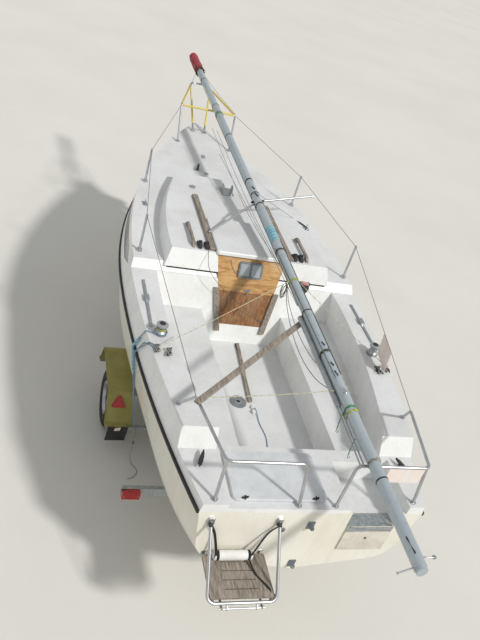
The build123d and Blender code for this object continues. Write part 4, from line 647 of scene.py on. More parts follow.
def mastSleeve(fromY, toY, lift, steps=24, wrinkle=0.0):
    # a sleeve on the mast's stadium section: each point pushed out by lift plus small wrinkles
    a = np.linspace(0, 2 * np.pi, 72, endpoint=False)
    reach = mastLine["wide"] / 2 + lift
    x, y = np.cos(a) * reach, np.sin(a) * reach + np.sign(np.sin(a)) * mastFlat
    along = np.linspace(fromY, toY, steps)
    crease = 1 + wrinkle * np.sin(3 * a[None] + along[:, None] / 17) * np.sin(along[:, None] / 9)
    rings = (mastPoint(along)[:, None] + (x * crease)[..., None] * mastSide
             + (y * crease)[..., None] * mastTop)
    return gridSurface(rings, aroundV=True)


def mastTurns(y, turns, rope, seat=0.0):
    # rope wound round the mast's stadium section, each turn one rope further along
    a = np.linspace(0, 2 * np.pi * turns, int(40 * turns))
    reach = mastLine["wide"] / 2 + rope / 2 + seat
    across, above = np.cos(a) * reach, np.sin(a) * reach + np.tanh(4 * np.sin(a)) * mastFlat
    at = y + a / (2 * np.pi) * rope * 1000 * 1.04
    path = mastPoint(at) + across[:, None] * mastSide + above[:, None] * mastTop
    return tube(path, rope / 2, 8, lean=mastWay)


# band, collars and rope turns, by millimetres ahead of the transom
addPiece("mastBlueBand", mastSleeve(2770, 3010, 0.0016, 60, 0.012), "blue_tape", "mast_aluminium")
addPiece("mastCollar", [mastSleeve(-112, -100, 0.0018, 6), mastSleeve(3935, 3960, 0.002, 6),
                        mastSleeve(5015, 5030, 0.0015, 6)], "black_nylon")
addPiece("mastLimeTurns", [mastTurns(505, 2.2, 0.008), mastTurns(2118, 2.4, 0.007)], "lime_rope")
addPiece("mastGreenTurns", [mastTurns(548, 1.6, 0.009), mastTurns(5600, 1.4, 0.008)], "green_rope")
addPiece("mastDarkTurns", [mastTurns(1160, 3.2, 0.008), mastTurns(3440, 2.3, 0.007),
                           mastTurns(3660, 2.0, 0.006), mastTurns(2600, 2.6, 0.007),
                           mastTurns(1690, 2.1, 0.006)], "dark_rope")
addPiece("mastGreyTurns", [mastTurns(5640, 3.3, 0.006), mastTurns(6690, 4.2, 0.006),
                           mastTurns(5860, 3.2, 0.005), mastTurns(7060, 3.0, 0.005),
                           mastTurns(40, 3.2, 0.006)], "grey_rope")
print("tape and rope on the mast")

# standing lines: pulled straight, or with the little sag that their own weight gives
standingLines = [
    # name, finish, diameter, points
    ("guyPort", "cream_rope", 0.006, [boat(-1078, 1455, 268), mastRing(2135, 160, 0.052)]),
    ("guyStarboard", "cream_rope", 0.006, [boat(1078, 1455, 268), mastRing(2135, 20, 0.052)]),
    ("hatchLine", "dark_rope", 0.005, [boat(-470, 2812, 500), boat(-400, 2565, 300), boat(252, 2548, -180)]),
    ("mastheadLinePort", "wire", 0.005, [boat(-370, 5900, 820), mastRing(7040, 200, 0.052)]),
    ("mastheadLineStarboard", "wire", 0.005, [boat(370, 5900, 820), mastRing(7040, -20, 0.052)]),
    ("shroudA", "wire", 0.005, [mastRing(2450, 215, 0.06), mastRing(3560, 205, 0.10),
                                mastRing(5250, 200, 0.11)]),
    ("shroudB", "wire", 0.005, [mastRing(2450, 235, 0.06), mastRing(3560, 215, 0.15),
                                mastRing(5350, 205, 0.15)]),
    ("shroudC", "wire", 0.005, [mastRing(1850, 225, 0.055), mastRing(3000, 220, 0.10),
                                mastRing(4700, 205, 0.19)]),
    ("halyardA", "dark_rope", 0.007, [mastRing(900, 62, 0.053), mastRing(1900, 52, 0.051),
                                      mastRing(2780, 40, 0.052)]),
    ("halyardB", "cream_rope", 0.007, [mastRing(720, 30, 0.052), mastRing(1700, 20, 0.05),
                                       mastRing(3300, 14, 0.05)]),
    ("halyardC", "dark_rope", 0.006, [mastRing(860, 130, 0.054), mastRing(1800, 150, 0.052),
                                      mastRing(2650, 160, 0.052)]),
]
for lineName, finish, thick, stops in standingLines:
    stops = np.array(stops)
    path = strung(stops, 0.012, 24) if len(stops) == 2 else smoothRoute(stops, 14)
    run = stops[-1] - stops[0]
    lean = (1, 0, 0) if abs(run[0]) < 0.4 * np.linalg.norm(run) else (0, 1, 0.3)
    addPiece(lineName, tube(path, thick / 2, 8, lean=lean), finish)
print("standing lines")


def splinePoints(stops):
    # the smooth line that a NURBS spline of order 3 draws from its control points
    curve = bpy.data.curves.new("route", "CURVE")
    curve.dimensions, curve.resolution_u = "3D", 10
    spline = curve.splines.new("NURBS")
    spline.points.add(len(stops) - 1)
    for point, stop in zip(spline.points, stops):
        point.co = (*stop, 1)
    spline.order_u, spline.use_endpoint_u = 3, True
    holder = bpy.data.objects.new("route", curve)
    mesh = bpy.data.meshes.new_from_object(holder)
    line = np.array([tuple(v.co) for v in mesh.vertices])
    bpy.data.objects.remove(holder)
    bpy.data.meshes.remove(mesh)
    bpy.data.curves.remove(curve)
    return line


def looseCord(name, stops, thick, finish, lean=(0.2, 0.1, 1)):
    # a free rope: a tube along the spline
    line = splinePoints(stops)
    piece = addPiece(name, tube(line, thick / 2, 8, lean=lean), finish)
    return piece


def ringBand(origin, axis, inner, thick, wide, sides=40):
    # a flat band wound round an axis
    rows = [(inner, 0), (inner + thick, 0.0006), (inner + thick, wide - 0.0006), (inner, wide), (inner, 0)]
    return turned(rows, origin, axis, sides)


# a rolled mat in coated cloth: round its axis at angle a its radius is R, less the waist that each strap
# pulls in, plus soft lengthwise folds, and the ends close inwards over a spiral edge of the mat
rollLow, rollHigh = (np.array(c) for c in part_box("padded_roll"))
rollR = (rollHigh[2] - rollLow[2]) / 2
rollMid = np.array((0, (rollLow[1] + rollHigh[1]) / 2, rollLow[2] + rollR))
s = np.linspace(0, 1, 110)[:, None]
a = np.linspace(0, 2 * np.pi, 96, endpoint=False)[None]
waist = 0.11 * (np.exp(-((s - 0.09) / 0.035) ** 2) + np.exp(-((s - 0.90) / 0.035) ** 2))
soft = (0.012 * np.sin(4 * a + 3 * s) * np.sin(np.pi * s) + 0.008 * np.sin(11 * a - 14 * s)
        + 0.01 * np.cos(27 * s))
shoulder = np.sqrt(np.clip(1 - np.clip((np.abs(s - 0.5) - 0.46) / 0.04, 0, 1) ** 2 * 0.45, 0, 1))
radius = rollR * (0.985 - waist + soft * 0.8) * shoulder
radius = np.minimum(radius, rollR)
ringX = rollLow[0] + s * (rollHigh[0] - rollLow[0]) + 0 * a
side = np.stack((ringX, rollMid[1] + radius * np.cos(a), rollMid[2] + radius * np.sin(a)), 2)
k = np.linspace(1, 0.02, 22)[:, None]


def rollEnd(ring, inward):
    # the last ring shrunk by k towards the axis, each point moved in by a spiral edge
    spiral = 0.0045 * (0.5 + 0.5 * np.cos(2 * np.pi * 3.5 * k + a))
    y = rollMid[1] + (ring[None, :, 1] - rollMid[1]) * k
    z = rollMid[2] + (ring[None, :, 2] - rollMid[2]) * k
    return np.stack((ring[None, :, 0] + inward * spiral * np.clip((1 - k) * 6, 0, 1), y, z), 2)


rollSkin = np.concatenate((rollEnd(side[0], 1)[::-1], side[1:-1], rollEnd(side[-1], -1)))
paddedRoll = addPiece("paddedRoll", gridSurface(rollSkin, aroundV=True), "white_padding", sharp=60)
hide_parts("padded_roll")
strapRings = []
for share in (0.075, 0.105, 0.885, 0.915):
    strapRings.append(ringBand((rollLow[0] + share * (rollHigh[0] - rollLow[0]) - 0.006, rollMid[1],
                                rollMid[2]), (1, 0, 0), rollR * 0.9, 0.0022, 0.013))
addPiece("rollStraps", strapRings, "black_webbing")


def webbing(stops, wide, thick, lean):
    # a flat strap along a smooth line: a rounded-rectangle section carried along it
    line = smoothRoute(np.array(stops), 12)
    way, side, up = pathFrame(line, lean)
    box = roundedBox(wide, thick, thick * 0.45, 3)
    rings = line[:, None] + box[None, :, :1] * side[:, None] + box[None, :, 1:] * up[:, None]
    rings = np.concatenate((line[:1, None] + 0 * rings[:1], rings, line[-1:, None] + 0 * rings[:1]))
    return gridSurface(rings, aroundV=True)


addPiece("platformStraps", [
    webbing([boat(-690, -95, -395), boat(-700, -60, -330), boat(-735, -25, -210), boat(-778, -28, -120)],
            0.020, 0.0018, (0, 1, 0.2)),
    webbing([boat(-430, -98, -400), boat(-395, -70, -330), boat(-330, -30, -200), boat(-272, -28, -118)],
            0.020, 0.0018, (0, 1, 0.2)),
    webbing([boat(-428, -102, -415), boat(-390, -200, -442), boat(-320, -310, -440),
             boat(-268, -385, -462)], 0.020, 0.0018, (0.3, 0, 1))], "black_webbing")
collars = []
for x in (-790, -265):
    foot, knee = boat(x, -12, -92), boat(x, -60, -142)
    collars.append(turned([(0, 0), (0.0165, 0.001), (0.0172, 0.03), (0.0150, 0.034), (0, 0.034)], foot,
                          knee - foot, 28))
addPiece("platformCollars", collars, "black_nylon")
print("padded roll and its straps")


def hexHead(origin, out, flat=0.013, high=0.006):
    # a hexagon head with a domed top, standing on origin along out
    r = flat / math.sqrt(3)
    return turned([(0, 0), (r, 0), (r, high * 0.75), (r * 0.86, high), (0, high)], origin, out, 6)


def screwHead(origin, out, r=0.004):
    # a low domed screw head, standing on origin along out
    return turned([(0, -0.0005), (r, -0.0005), (r * 0.92, 0.0008), (r * 0.5, 0.0016), (0, 0.0018)], origin,
                  out, 14)


# the two latches of the locker lid
latches = []
for x in (-560, -5):
    latches.append(slab(roundedBox(0.062, 0.024, 0.006), 0.007, boat(x, 80, 64.4), (1, 0, 0), (0, 1, 0)))
    latches.append(slab(roundedBox(0.018, 0.046, 0.006), 0.006, boat(x, 74, 70.6), (1, 0, 0), (0, 1, 0)))
addPiece("lockerLatches", latches, "black_nylon", body="locker")

# hasp and lock on the boards, moved back until they meet them
hasp = [slab(roundedBox(0.070, 0.030, 0.004), 0.003, boat(10, 2638, 160), (1, 0, 0), (0, 0.25, 0.97)),
        slab(roundedBox(0.026, 0.048, 0.010), 0.014, boat(12, 2632, 138), (1, 0, 0), (0, 0.25, 0.97), 0.003)]
boards = trianglesOf("washboard_upper", "washboard_lower")
haspShift = landOn(boat(10, 2300, 150), (0, 1, 0), 0.001, boards)[0][1] - boat(10, 2638, 150)[1] - 0.016
for part in hasp:
    part["points"] += (0, haspShift, 0)
addPiece("boardHasp", hasp, "alloy")

# the skin fitting on the transom
flange = 0.027
skinFitting = turned([(0, 0), (flange, 0), (flange, 0.003), (flange * 0.8, 0.006), (flange * 0.55, 0.006),
                      (flange * 0.5, 0.001), (0, 0.001)],
                     landOn(boat(-215, -400, -194), (0, 1, 0), 0.0005)[0], (0, -1, 0), 28)
addPiece("transomSkinFittings", skinFitting, "grey_plastic")

# a dark rim round the dome of the compass
compassTop = np.array(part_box("compass")[1])
compassAt = (np.array(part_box("compass")[0]) + compassTop) / 2
compassAt[2] = compassTop[2]
compassRim = turned([(0.050, -0.006), (0.054, -0.006), (0.055, 0.0006), (0.050, 0.0016), (0.046, 0.0006),
                     (0.046, -0.006)], compassAt, (0, 0, 1), 40, closed=False)
addPiece("compassRim", compassRim, "black_nylon")

# screws along the sheet tracks
trackScrews = []
for side in (-1, 1):
    for j in range(9):
        at = boat(side * 1095, 1815 + j * 78, 0)
        hit = landOn((at[0], at[1], 2.2), (0, 0, -1))[0]
        trackScrews.append(screwHead(hit + np.array((side * 0.019, 0, 0.0002)), (0, 0, 1), 0.0035))
addPiece("trackScrews", trackScrews, "stainless")
print("fittings")


def drumTurns(centre, radius, fromZ, turns, rope):
    # rope wound up a winch drum that follows its waist
    a = np.linspace(0, 2 * np.pi * turns, int(36 * turns))
    z = fromZ + a / (2 * np.pi) * rope * 1.02
    r = radius + rope / 2
    return np.stack((centre[0] + r * np.cos(a), centre[1] + r * np.sin(a), centre[2] + z), 1)


winchPort = boat(-1025, 1690, 244)
turnsYellow = drumTurns(winchPort, 0.0362, 0.032, 2.3, 0.008)
addPiece("winchYellowTurns", tube(turnsYellow, 0.004, 8), "lime_rope")
turnsBlue = drumTurns(winchPort, 0.0505, 0.006, 1.2, 0.008)
addPiece("winchBlueTurns", tube(turnsBlue, 0.004, 8), "blue_rope")

# rope laid in figures of eight on the deck cleats
cleatWraps = []
for x, y in ((-985, 1420), (-1080, 1455), (985, 1420), (1080, 1455)):
    t = np.linspace(0, 2 * np.pi * 2.5, 120)
    eight = np.stack((0.017 * np.sin(2 * t), 0.046 * np.sin(t),
                      0.026 + 0.004 * np.cos(2 * t) + 0.0016 * t / 2.5), 1)
    cleatWraps.append(tube(boat(x, y, 230) + eight, 0.0035, 8, lean=(0.1, 0.2, 1)))
addPiece("cleatRopes", cleatWraps, "grey_rope")


def overSide(fromX, fromY, toY):
    # a taut lashing from a cleat down to the trailer's arm: the boat's section under it is read by rays,
    # and the rope takes the outer convex line round those points, a rope's thickness off them
    count = 26
    share = np.linspace(0.02, 0.98, 2 * count)
    places = []
    for k in range(count):
        y = fromY + (toY - fromY) * share[k]
        x = fromX + (1196 - fromX) * k / (count - 1)
        places.append(boatSkin.ray_cast(Vector(boat(-x, y, 700)), Vector((0, 0, -1)))[0])
    for k in range(count):
        y = fromY + (toY - fromY) * share[count + k]
        places.append(boatSkin.ray_cast(Vector(boat(-1700, y, 150 - 900 * k / count)), Vector((1, 0, 0)))[0])
    places = [boat(-fromX, fromY, 258), *(np.array(q) for q in places if q is not None),
              ground(-1004, toY, 420)]
    line, now = [0], 0
    while now < len(places) - 1:
        steps = [(q[0] - places[now][0], q[2] - places[now][2]) for q in places[now + 1:]]
        turns = [math.atan2(dz, -dx) for dx, dz in steps]
        now += 1 + int(np.argmax(turns))
        line.append(now)
    taut = np.array([places[k] for k in line])
    taut[1:-1] += (-0.006, 0, 0.003)
    lengths = np.concatenate(([0], np.cumsum(np.linalg.norm(np.diff(taut, axis=0), axis=1))))
    even = np.linspace(0, lengths[-1], 90)
    return np.stack([np.interp(even, lengths, taut[:, k]) for k in range(3)], 1)


sideLines = [overSide(1062, 1650, 1852), overSide(1082, 1478, 1846), overSide(1082, 1440, 1840)]
addPiece("sideLashings", [tube(line, 0.0045, 8, lean=(0, 1, 0)) for line in sideLines], "blue_rope")
sleeveLine = sideLines[0][14:42]
addPiece("lashingSleeve", tube(sleeveLine, 0.0125, 16, lean=(0, 1, 0)), "blue_tape", "red_cloth")
print("cockpit ropes")

# double block with its rope on the sole, and a narrow board beside it
soleZ = -380
blockAt = boat(-45, 1455, soleZ + 14)
blockParts = []
for dz in (-0.011, 0.009):
    blockParts.append(slab(roundedBox(0.052, 0.120, 0.025), 0.0025, blockAt + (0, 0, dz), (1, 0, 0),
                           (0, 1, 0), 0.001))
blockParts.append(turned([(0, -0.008), (0.019, -0.008), (0.015, 0), (0.019, 0.008), (0, 0.008)],
                         blockAt + (0, 0.028, 0), (0, 0, 1), 28))
blockParts.append(turned([(0, -0.008), (0.014, -0.008), (0.011, 0), (0.014, 0.008), (0, 0.008)],
                         blockAt + (0, -0.030, 0), (0, 0, 1), 24))
addPiece("soleBlock", blockParts, "white_padding")
looseCord("soleRope", [boat(-26, 1485, soleZ + 15), boat(-18, 1420, soleZ + 12), boat(-30, 1300, soleZ + 5),
                       boat(5, 1120, soleZ + 5), boat(-30, 960, soleZ + 5), boat(15, 820, soleZ + 5),
                       boat(70, 740, soleZ + 5)], 0.008, "blue_rope")
board = {"from": boat(-5, 2440, soleZ + 1), "to": boat(-52, 1560, soleZ + 1), "wide": 0.046, "thick": 0.020}
boardWay = board["to"] - board["from"]
boardLong = float(np.linalg.norm(boardWay))
addPiece("soleBoard", slab(roundedBox(board["wide"], boardLong, 0.006), board["thick"],
                           (board["from"] + board["to"]) / 2, np.cross(boardWay, (0, 0, 1)), boardWay,
                           0.002), "grey_teak")

# lines that hang under the mast in a belly, tied to it at both ends
for name, fromY, toY, fall, out, finish in (("hangingLineA", 2190, 760, 0.21, 205, "dark_rope"),
                                            ("hangingLineB", 2160, 1010, 0.11, 215, "grey_rope")):
    first, last = mastRing(fromY, out, 0.052), mastRing(toY, out, 0.052)
    stops = strung((first, last), fall, 9)
    stops[1:-1, 0] -= 0.03
    looseCord(name, stops, 0.006, finish, lean=(1, 0, 0.1))
# the green cord's two ends, each with its hook
for name, y, drop in (("greenLashA", 560, 0.17), ("greenLashB", 300, 0.16)):
    start = mastRing(y, 215, 0.052)
    stops = [start, start + (-0.012, -0.01, -0.04), start + (-0.006, -0.012, -drop * 0.7),
             start + (0, -0.014, -drop)]
    tip = np.array(stops[-1])
    hook = np.array([tip + (0, 0, 0.004), tip + (0, 0, -0.018), tip + (0.008, 0, -0.03),
                     tip + (0.018, 0, -0.026), tip + (0.02, 0, -0.012)])
    hookPiece = addPiece(name + "Hook", tube(smoothRoute(hook, 6), 0.002, 8, lean=(0, 1, 0)), "black_nylon")
    looseCord(name, stops, 0.008, "green_rope", lean=(1, 0, 0.1))

# hank of thin line: eight long loops side by side, tied at the top
t = np.linspace(0, 2 * np.pi * 8, 260)
hankTop = mastRing(2190, 235, 0.06)
hang = np.stack((hankTop[0] - 0.006 + 0.022 * np.sin(t) + 0.006 * np.sin(t * 0.37),
                 hankTop[1] + 0.020 * np.sin(t * 0.21),
                 hankTop[2] - 0.085 + 0.085 * np.cos(t) * (0.86 + 0.14 * np.sin(0.5 * t))), 1)
addPiece("lineHank", [tube(hang, 0.0022, 6, lean=(0, 1, 0.05))], "grey_rope")
# a thin line from the port side to the mast, and the starboard lower shroud with its turnbuckle
secondGuy = strung((boat(-846, 655, 472), mastRing(770, 190, 0.052)), 0.012, 24)
addPiece("crossLine", tube(secondGuy, 0.003, 8), "cream_rope")
shroud = np.array([boat(965, 3855, 352), mastRing(3690, 10, 0.055)])
turnbuckle = turned([(0, 0), (0.004, 0), (0.005, 0.02), (0.010, 0.03), (0.011, 0.10), (0.010, 0.16),
                     (0.005, 0.17), (0.003, 0.20), (0, 0.20)], shroud[0], shroud[1] - shroud[0], 14)
addPiece("lowerShroudStarboard", tube(shroud, 0.0025, 8), "wire")
addPiece("shroudTurnbuckle", turnbuckle, "black_nylon")
print("block, cords and hank")


def spun(surface, centre, count, start=0.0):
    # copies turned round the x axis through centre, as one array
    a = start + np.linspace(0, 2 * np.pi, count, endpoint=False)
    p = surface["points"] - centre
    y = p[None, :, 1] * np.cos(a)[:, None] - p[None, :, 2] * np.sin(a)[:, None]
    z = p[None, :, 1] * np.sin(a)[:, None] + p[None, :, 2] * np.cos(a)[:, None]
    x = np.broadcast_to(p[None, :, 0], y.shape)
    size = len(p)
    return {"points": np.stack((x, y, z), 2).reshape(-1, 3) + centre,
            "faces": (surface["faces"][None] + (np.arange(count) * size)[:, None, None]).reshape(-1, 4),
            "uvs": np.tile(surface["uvs"], (count, 1))}


tyreShape = {"rim": 0.1722, "crown": 0.2930, "groove": 0.2890, "block": 0.0066, "blocksRound": 64}
wheelNut = {"circle": 0.063, "count": 5, "seat": 0.024}
# half of the tyre's section from rim to crown: radius and half width
half = [(tyreShape["rim"], 0.070), (0.177, 0.0755), (0.187, 0.080), (0.200, 0.0865), (0.222, 0.0912),
        (0.240, 0.0922), (0.258, 0.0905), (0.272, 0.0872), (0.281, 0.083), (0.2885, 0.0765),
        (0.2922, 0.068), (tyreShape["crown"], 0.055)]
for side, wheelBody, name in ((-1, "wheel_left", "Left"), (1, "wheel_right", "Right")):
    hub = ground(side * 1155, 2350, 300)
    crown, groove, blocksRound = tyreShape["crown"], tyreShape["groove"], tyreShape["blocksRound"]
    profile = [(tyreShape["rim"], 0), *half, (crown, 0.005), (groove, 0.004), (groove, -0.004),
               (crown, -0.005), *[(r, -w) for r, w in half[::-1]], (tyreShape["rim"], 0)]
    parts = [turned(profile, hub, (1, 0, 0), 96)]
    # rows of tread blocks: place across, width and share of a block's pitch
    for x, wide, phase in ((-0.0625, 0.020, 0.0), (-0.034, 0.026, 0.4), (0.034, 0.026, 0.0),
                           (0.0625, 0.020, 0.6)):
        block = slab(roundedBox(0.0235, wide, 0.003, 2), tyreShape["block"], hub + (x, 0, crown - 0.0002),
                     (0, -1, 0), (1, 0, 0), 0.0012)
        parts.append(spun(block, hub, blocksRound, phase * 2 * np.pi / blocksRound))
    tyre = addPiece("tyre" + name, parts, "tyre", body=wheelBody, sharp=35)
    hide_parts("tyre_left" if side < 0 else "tyre_right")
    nuts = []
    for j in range(wheelNut["count"]):
        turnBy = 2 * np.pi * j / wheelNut["count"]
        at = hub + (side * wheelNut["seat"], wheelNut["circle"] * math.cos(turnBy),
                    wheelNut["circle"] * math.sin(turnBy))
        nuts.append(turned([(0, 0), (0.011, 0), (0.011, 0.011), (0.009, 0.014), (0.0065, 0.0145),
                            (0.0065, 0.019), (0, 0.019)], at, (side, 0, 0), 6))
    addPiece("wheelNuts" + name, nuts, "galvanised", body=wheelBody, sharp=25)
    cap = turned([(0, 0.0), (0.037, 0.0), (0.038, 0.004), (0.034, 0.012), (0.018, 0.017), (0, 0.018)],
                 hub + (side * 0.0462, 0, 0), (side, 0, 0), 40)
    addPiece("hubCap" + name, cap, "black_nylon", body=wheelBody)
print("tyres")

# outline of a triangle with blunt corners: these angles on a circle
triangleR = 0.075
triangle = np.array([(triangleR * math.cos(math.radians(q)), triangleR * math.sin(math.radians(q)))
                     for q in (90, 98, 202, 210, 218, 322, 330, 338, 82)])
guardParts, flaps, reflectors, beads = [], [], [], []
for side in (-1, 1):
    slopeOut, slopeUp = (0, -0.883, 0.470), np.array((0, 0.470, 0.883))
    middle = ground(side * 1168, 1962, 594) + 0.0025 * np.array(slopeOut)
    reflectors.append(slab(triangle, 0.006, middle, (1, 0, 0), slopeUp, 0.002))
    flaps.append(slab(roundedBox(0.205, 0.19, 0.006), 0.004, ground(side * 1155, 1818, 325), (1, 0, 0),
                      (0, 0, 1), 0.0012))
    for x in (1030, 1280):
        arch = ((1822, 412), (1872, 412), (2020, 692), (2680, 692), (2828, 412), (2878, 412))
        line = np.array([ground(side * x, y, z) for y, z in arch])
        beads.append(tube(line, 0.005, 10, lean=(1, 0, 0)))
    for y in (1845, 2855):
        for x in (1090, 1220):
            guardParts.append(hexHead(ground(side * x, y, 416.4), (0, 0, 1)))
addPiece("mudguardBeads", beads, "olive_plastic", sharp=60)
addPiece("mudguardBolts", guardParts, "galvanised", sharp=25)
addPiece("mudFlaps", flaps, "black_rubber")
addPiece("rearReflectors", reflectors, "red_lens")

# housings of the rear lamps and their screws
lampParts, screws = [], []
for side in (-1, 1):
    at = ground(side * 1120, 944, 500)
    lampParts.append(slab(roundedBox(0.172, 0.092, 0.011), 0.012, at, (-1, 0, 0), (0, 0, 1), 0.002))
    for dx in (-0.062, 0.062):
        screws.append(screwHead(ground(side * 1120, 904.4, 500) + (dx, 0, 0), (0, -1, 0), 0.0035))
addPiece("lampHousings", lampParts, "black_nylon")
addPiece("lampScrews", screws, "stainless")

# lamp cable, clipped under the light bar and along the port rail to the coupling
cableLine = smoothRoute(np.array([ground(1100, 968, 447), ground(300, 968, 447), ground(-380, 968, 447),
                                  ground(-416, 1010, 400), ground(-417, 1600, 380), ground(-417, 4250, 380),
                                  ground(-300, 4800, 380), ground(-60, 6150, 385), ground(-52, 6900, 385),
                                  ground(-52, 7140, 395)]), 12)
leftLine = np.array([ground(-380, 968, 447), ground(-1100, 968, 447)])
addPiece("lampCable", [tube(cableLine, 0.004, 8, lean=(0.05, 0, 1)), tube(leftLine, 0.004, 8)],
         "black_rubber")
clips = []
for y in (1250, 1700, 2150, 2600, 3050, 3500, 3950):
    clips.append(slab(roundedBox(0.014, 0.018, 0.003), 0.008, ground(-425.2, y, 380), (0, -1, 0), (0, 0, 1),
                      0.001))
addPiece("cableClips", clips, "black_nylon")

# bolts on the outer faces of the trailer's side rails
bolts = []
for y in (1400, 2350, 3700):
    for side in (-1, 1):
        for dy in (-0.018, 0.018):
            for dz in (-0.022, 0.022):
                bolts.append(hexHead(ground(side * 475.2, y, 390) + (0, dy, dz), (side, 0, 0), 0.015, 0.008))
addPiece("frameBolts", bolts, "galvanised", sharp=25)

# winch strap from its drum to a hook in the eye on the stem
drumAt = ground(0, 6510, 1075)
stemHit = landOn(ground(0, 6900, 1020), (0, -1, 0))[0]
strapLine = np.array([drumAt + (0, -0.035, 0.03), (drumAt + stemHit) / 2 + (0, 0, 0.008),
                      stemHit + (0, 0.045, 0)])
addPiece("bowStrap", webbing(strapLine, 0.045, 0.002, (0, 0.3, 1)), "grey_rope")
eyeRoute = stemHit + np.array(((0, -0.01, 0.022), (0, 0.022, 0.02), (0, 0.034, 0), (0, 0.022, -0.02),
                               (0, -0.01, -0.022)))
hookRoute = stemHit + np.array(((0, 0.052, 0), (0, 0.036, 0.014), (0, 0.024, 0.002), (0, 0.032, -0.010)))
addPiece("bowEye", tube(smoothRoute(eyeRoute, 8), 0.004, 10, lean=(1, 0, 0)), "stainless")
addPiece("strapHook", tube(smoothRoute(hookRoute, 8), 0.0035, 10, lean=(1, 0, 0)), "galvanised")
print("trailer details")

# small fittings on the mast, boards and transom
slotPlate = slab(roundedBox(0.130, 0.022, 0.0105, 6), 0.0022,
                 mastPoint(-628) - 0.0159 * mastSide + 0.0496 * mastTop, mastWay,
                 -0.927 * mastSide - 0.375 * mastTop, 0.0006)
addPiece("mastSlot", slotPlate, "black_nylon")
heelPin = np.array([mastPoint(-752) - 0.020 * mastSide, mastPoint(-762) - 0.150 * mastSide - 0.01 * mastTop])
# the strap that stands out from the foot ends in a flat eye
eyeArm = np.array([mastPoint(-700) + 0.036 * mastSide, mastPoint(-704) + 0.060 * mastSide + 0.004 * mastTop,
                   mastPoint(-712) + 0.108 * mastSide - 0.006 * mastTop])
eyeAt = eyeArm[-1] + 0.010 * mastSide
heelParts = [tube(heelPin, 0.006, 14, lean=(0, 1, 0)),
             turned([(0, 0), (0.011, 0), (0.011, 0.005), (0, 0.005)], heelPin[1],
                    heelPin[1] - heelPin[0], 6),
             tube(smoothRoute(eyeArm, 6), 0.0045, 12, lean=(0, 1, 0)),
             turned([(0.006, -0.003), (0.015, -0.003), (0.015, 0.003), (0.006, 0.003)], eyeAt, mastTop, 24)]
addPiece("heelPin", heelParts, "stainless")
drop = np.linspace(0, 2 * np.pi, 40, endpoint=False)
tearShape = np.stack((0.030 * np.cos(drop), 0.016 * np.sin(drop) * (1 - 0.55 * np.cos(drop))), 1)
topSeat = 0.0535
addPiece("mastCleat", [slab(tearShape, 0.010, mastPoint(712) + (topSeat - 0.004) * mastTop, mastWay,
                            -mastSide, 0.002)], "stainless")
gear = []
for y, long, wide in ((905, 0.060, 0.018), (1010, 0.046, 0.022), (3605, 0.080, 0.030), (3745, 0.060, 0.026),
                      (1250, 0.050, 0.020)):
    gear.append(slab(roundedBox(long, wide, wide * 0.42, 5), 0.012,
                     mastPoint(y) + (topSeat - 0.004) * mastTop, mastWay, -mastSide, 0.003))
for side in (-1, 1):
    gear.append(turned([(0, 0), (0.016, 0), (0.017, 0.006), (0.012, 0.020), (0.009, 0.034), (0, 0.034)],
                       mastPoint(3550) + side * 0.040 * mastSide, side * mastSide, 20))
addPiece("mastGear", gear, "black_nylon")

# the cord that ties the masthead cover's mouth, with its two short ends
tieAt = cover["tieY"]
# each end by places ahead of the tie, degrees round the mast and reach from its axis
tieEnds = (((0, 60, 0.063), (24, 75, 0.082), (70, 62, 0.080), (96, 50, 0.078)),
           ((0, 50, 0.063), (-14, 20, 0.076), (-50, -5, 0.070), (-84, -30, 0.062)))
tieParts = [mastTurns(tieAt - 5, 2.3, 0.007, 0.0135)]
for end in tieEnds:
    route = smoothRoute(np.array([mastRing(tieAt + ahead, turn, out) for ahead, turn, out in end]), 8)
    tieParts.append(tube(route, 0.0032, 8, lean=mastUp))
addPiece("coverTie", tieParts, "dark_rope")

# three turns of rope that make the knot beside the boards
knotAt = boat(-256, 2574, -196)
t = np.linspace(0, 2 * np.pi * 3.2, 110)
knotLine = knotAt + np.stack((0.036 * np.cos(t), 0.028 * np.sin(t), -0.016 + 0.0028 * t), 1)
addPiece("railKnot", tube(knotLine, 0.004, 8, lean=(0.1, 0.1, 1)), "cream_rope")

# the sole plate's raised ring and the dark cup inside it
plateLow, plateHigh = (np.array(c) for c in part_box("sole_plate"))
plateAt = np.array([(plateLow[0] + plateHigh[0]) / 2, (plateLow[1] + plateHigh[1]) / 2, plateHigh[2]])
addPiece("soleCup", turned([(0, 0.0004), (0.019, 0.0004), (0.019, -0.0015), (0, -0.0015)], plateAt,
                           (0, 0, 1), 32), "black_nylon")
addPiece("soleRing", turned([(0.018, -0.0002), (0.030, -0.0002), (0.028, 0.004), (0.020, 0.004)], plateAt,
                            (0, 0, 1), 40), "satin_drum")

# the sheet of aluminium folded over the pad's upper edge, its screws, and the bolt below it
padLow, padHigh = (np.array(c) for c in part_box("motor_pad"))
sheetThick, sheetDown = 0.0015, 0.060
sheetTop = slab(roundedBox(padHigh[0] - padLow[0], 0.130, 0.004, 4), sheetThick,
                np.array([(padLow[0] + padHigh[0]) / 2, padLow[1] + 0.0655, padHigh[2] + 0.0002]),
                (1, 0, 0), (0, 1, 0), 0.0004)
sheetFront = slab(roundedBox(padHigh[0] - padLow[0], sheetDown, 0.004, 4), sheetThick,
                  np.array([(padLow[0] + padHigh[0]) / 2, padLow[1] - 0.0002, padHigh[2] - sheetDown / 2]),
                  (1, 0, 0), (0, 0, 1), 0.0004)
screwX = np.linspace(padLow[0] + 0.03, padHigh[0] - 0.03, 6)
screws = copied(turned([(0, 0), (0.0045, 0), (0.0035, 0.0018), (0, 0.002)], (0, 0, 0), (0, -1, 0), 12),
                [(x, padLow[1] - sheetThick, padHigh[2] - 0.022) for x in screwX])
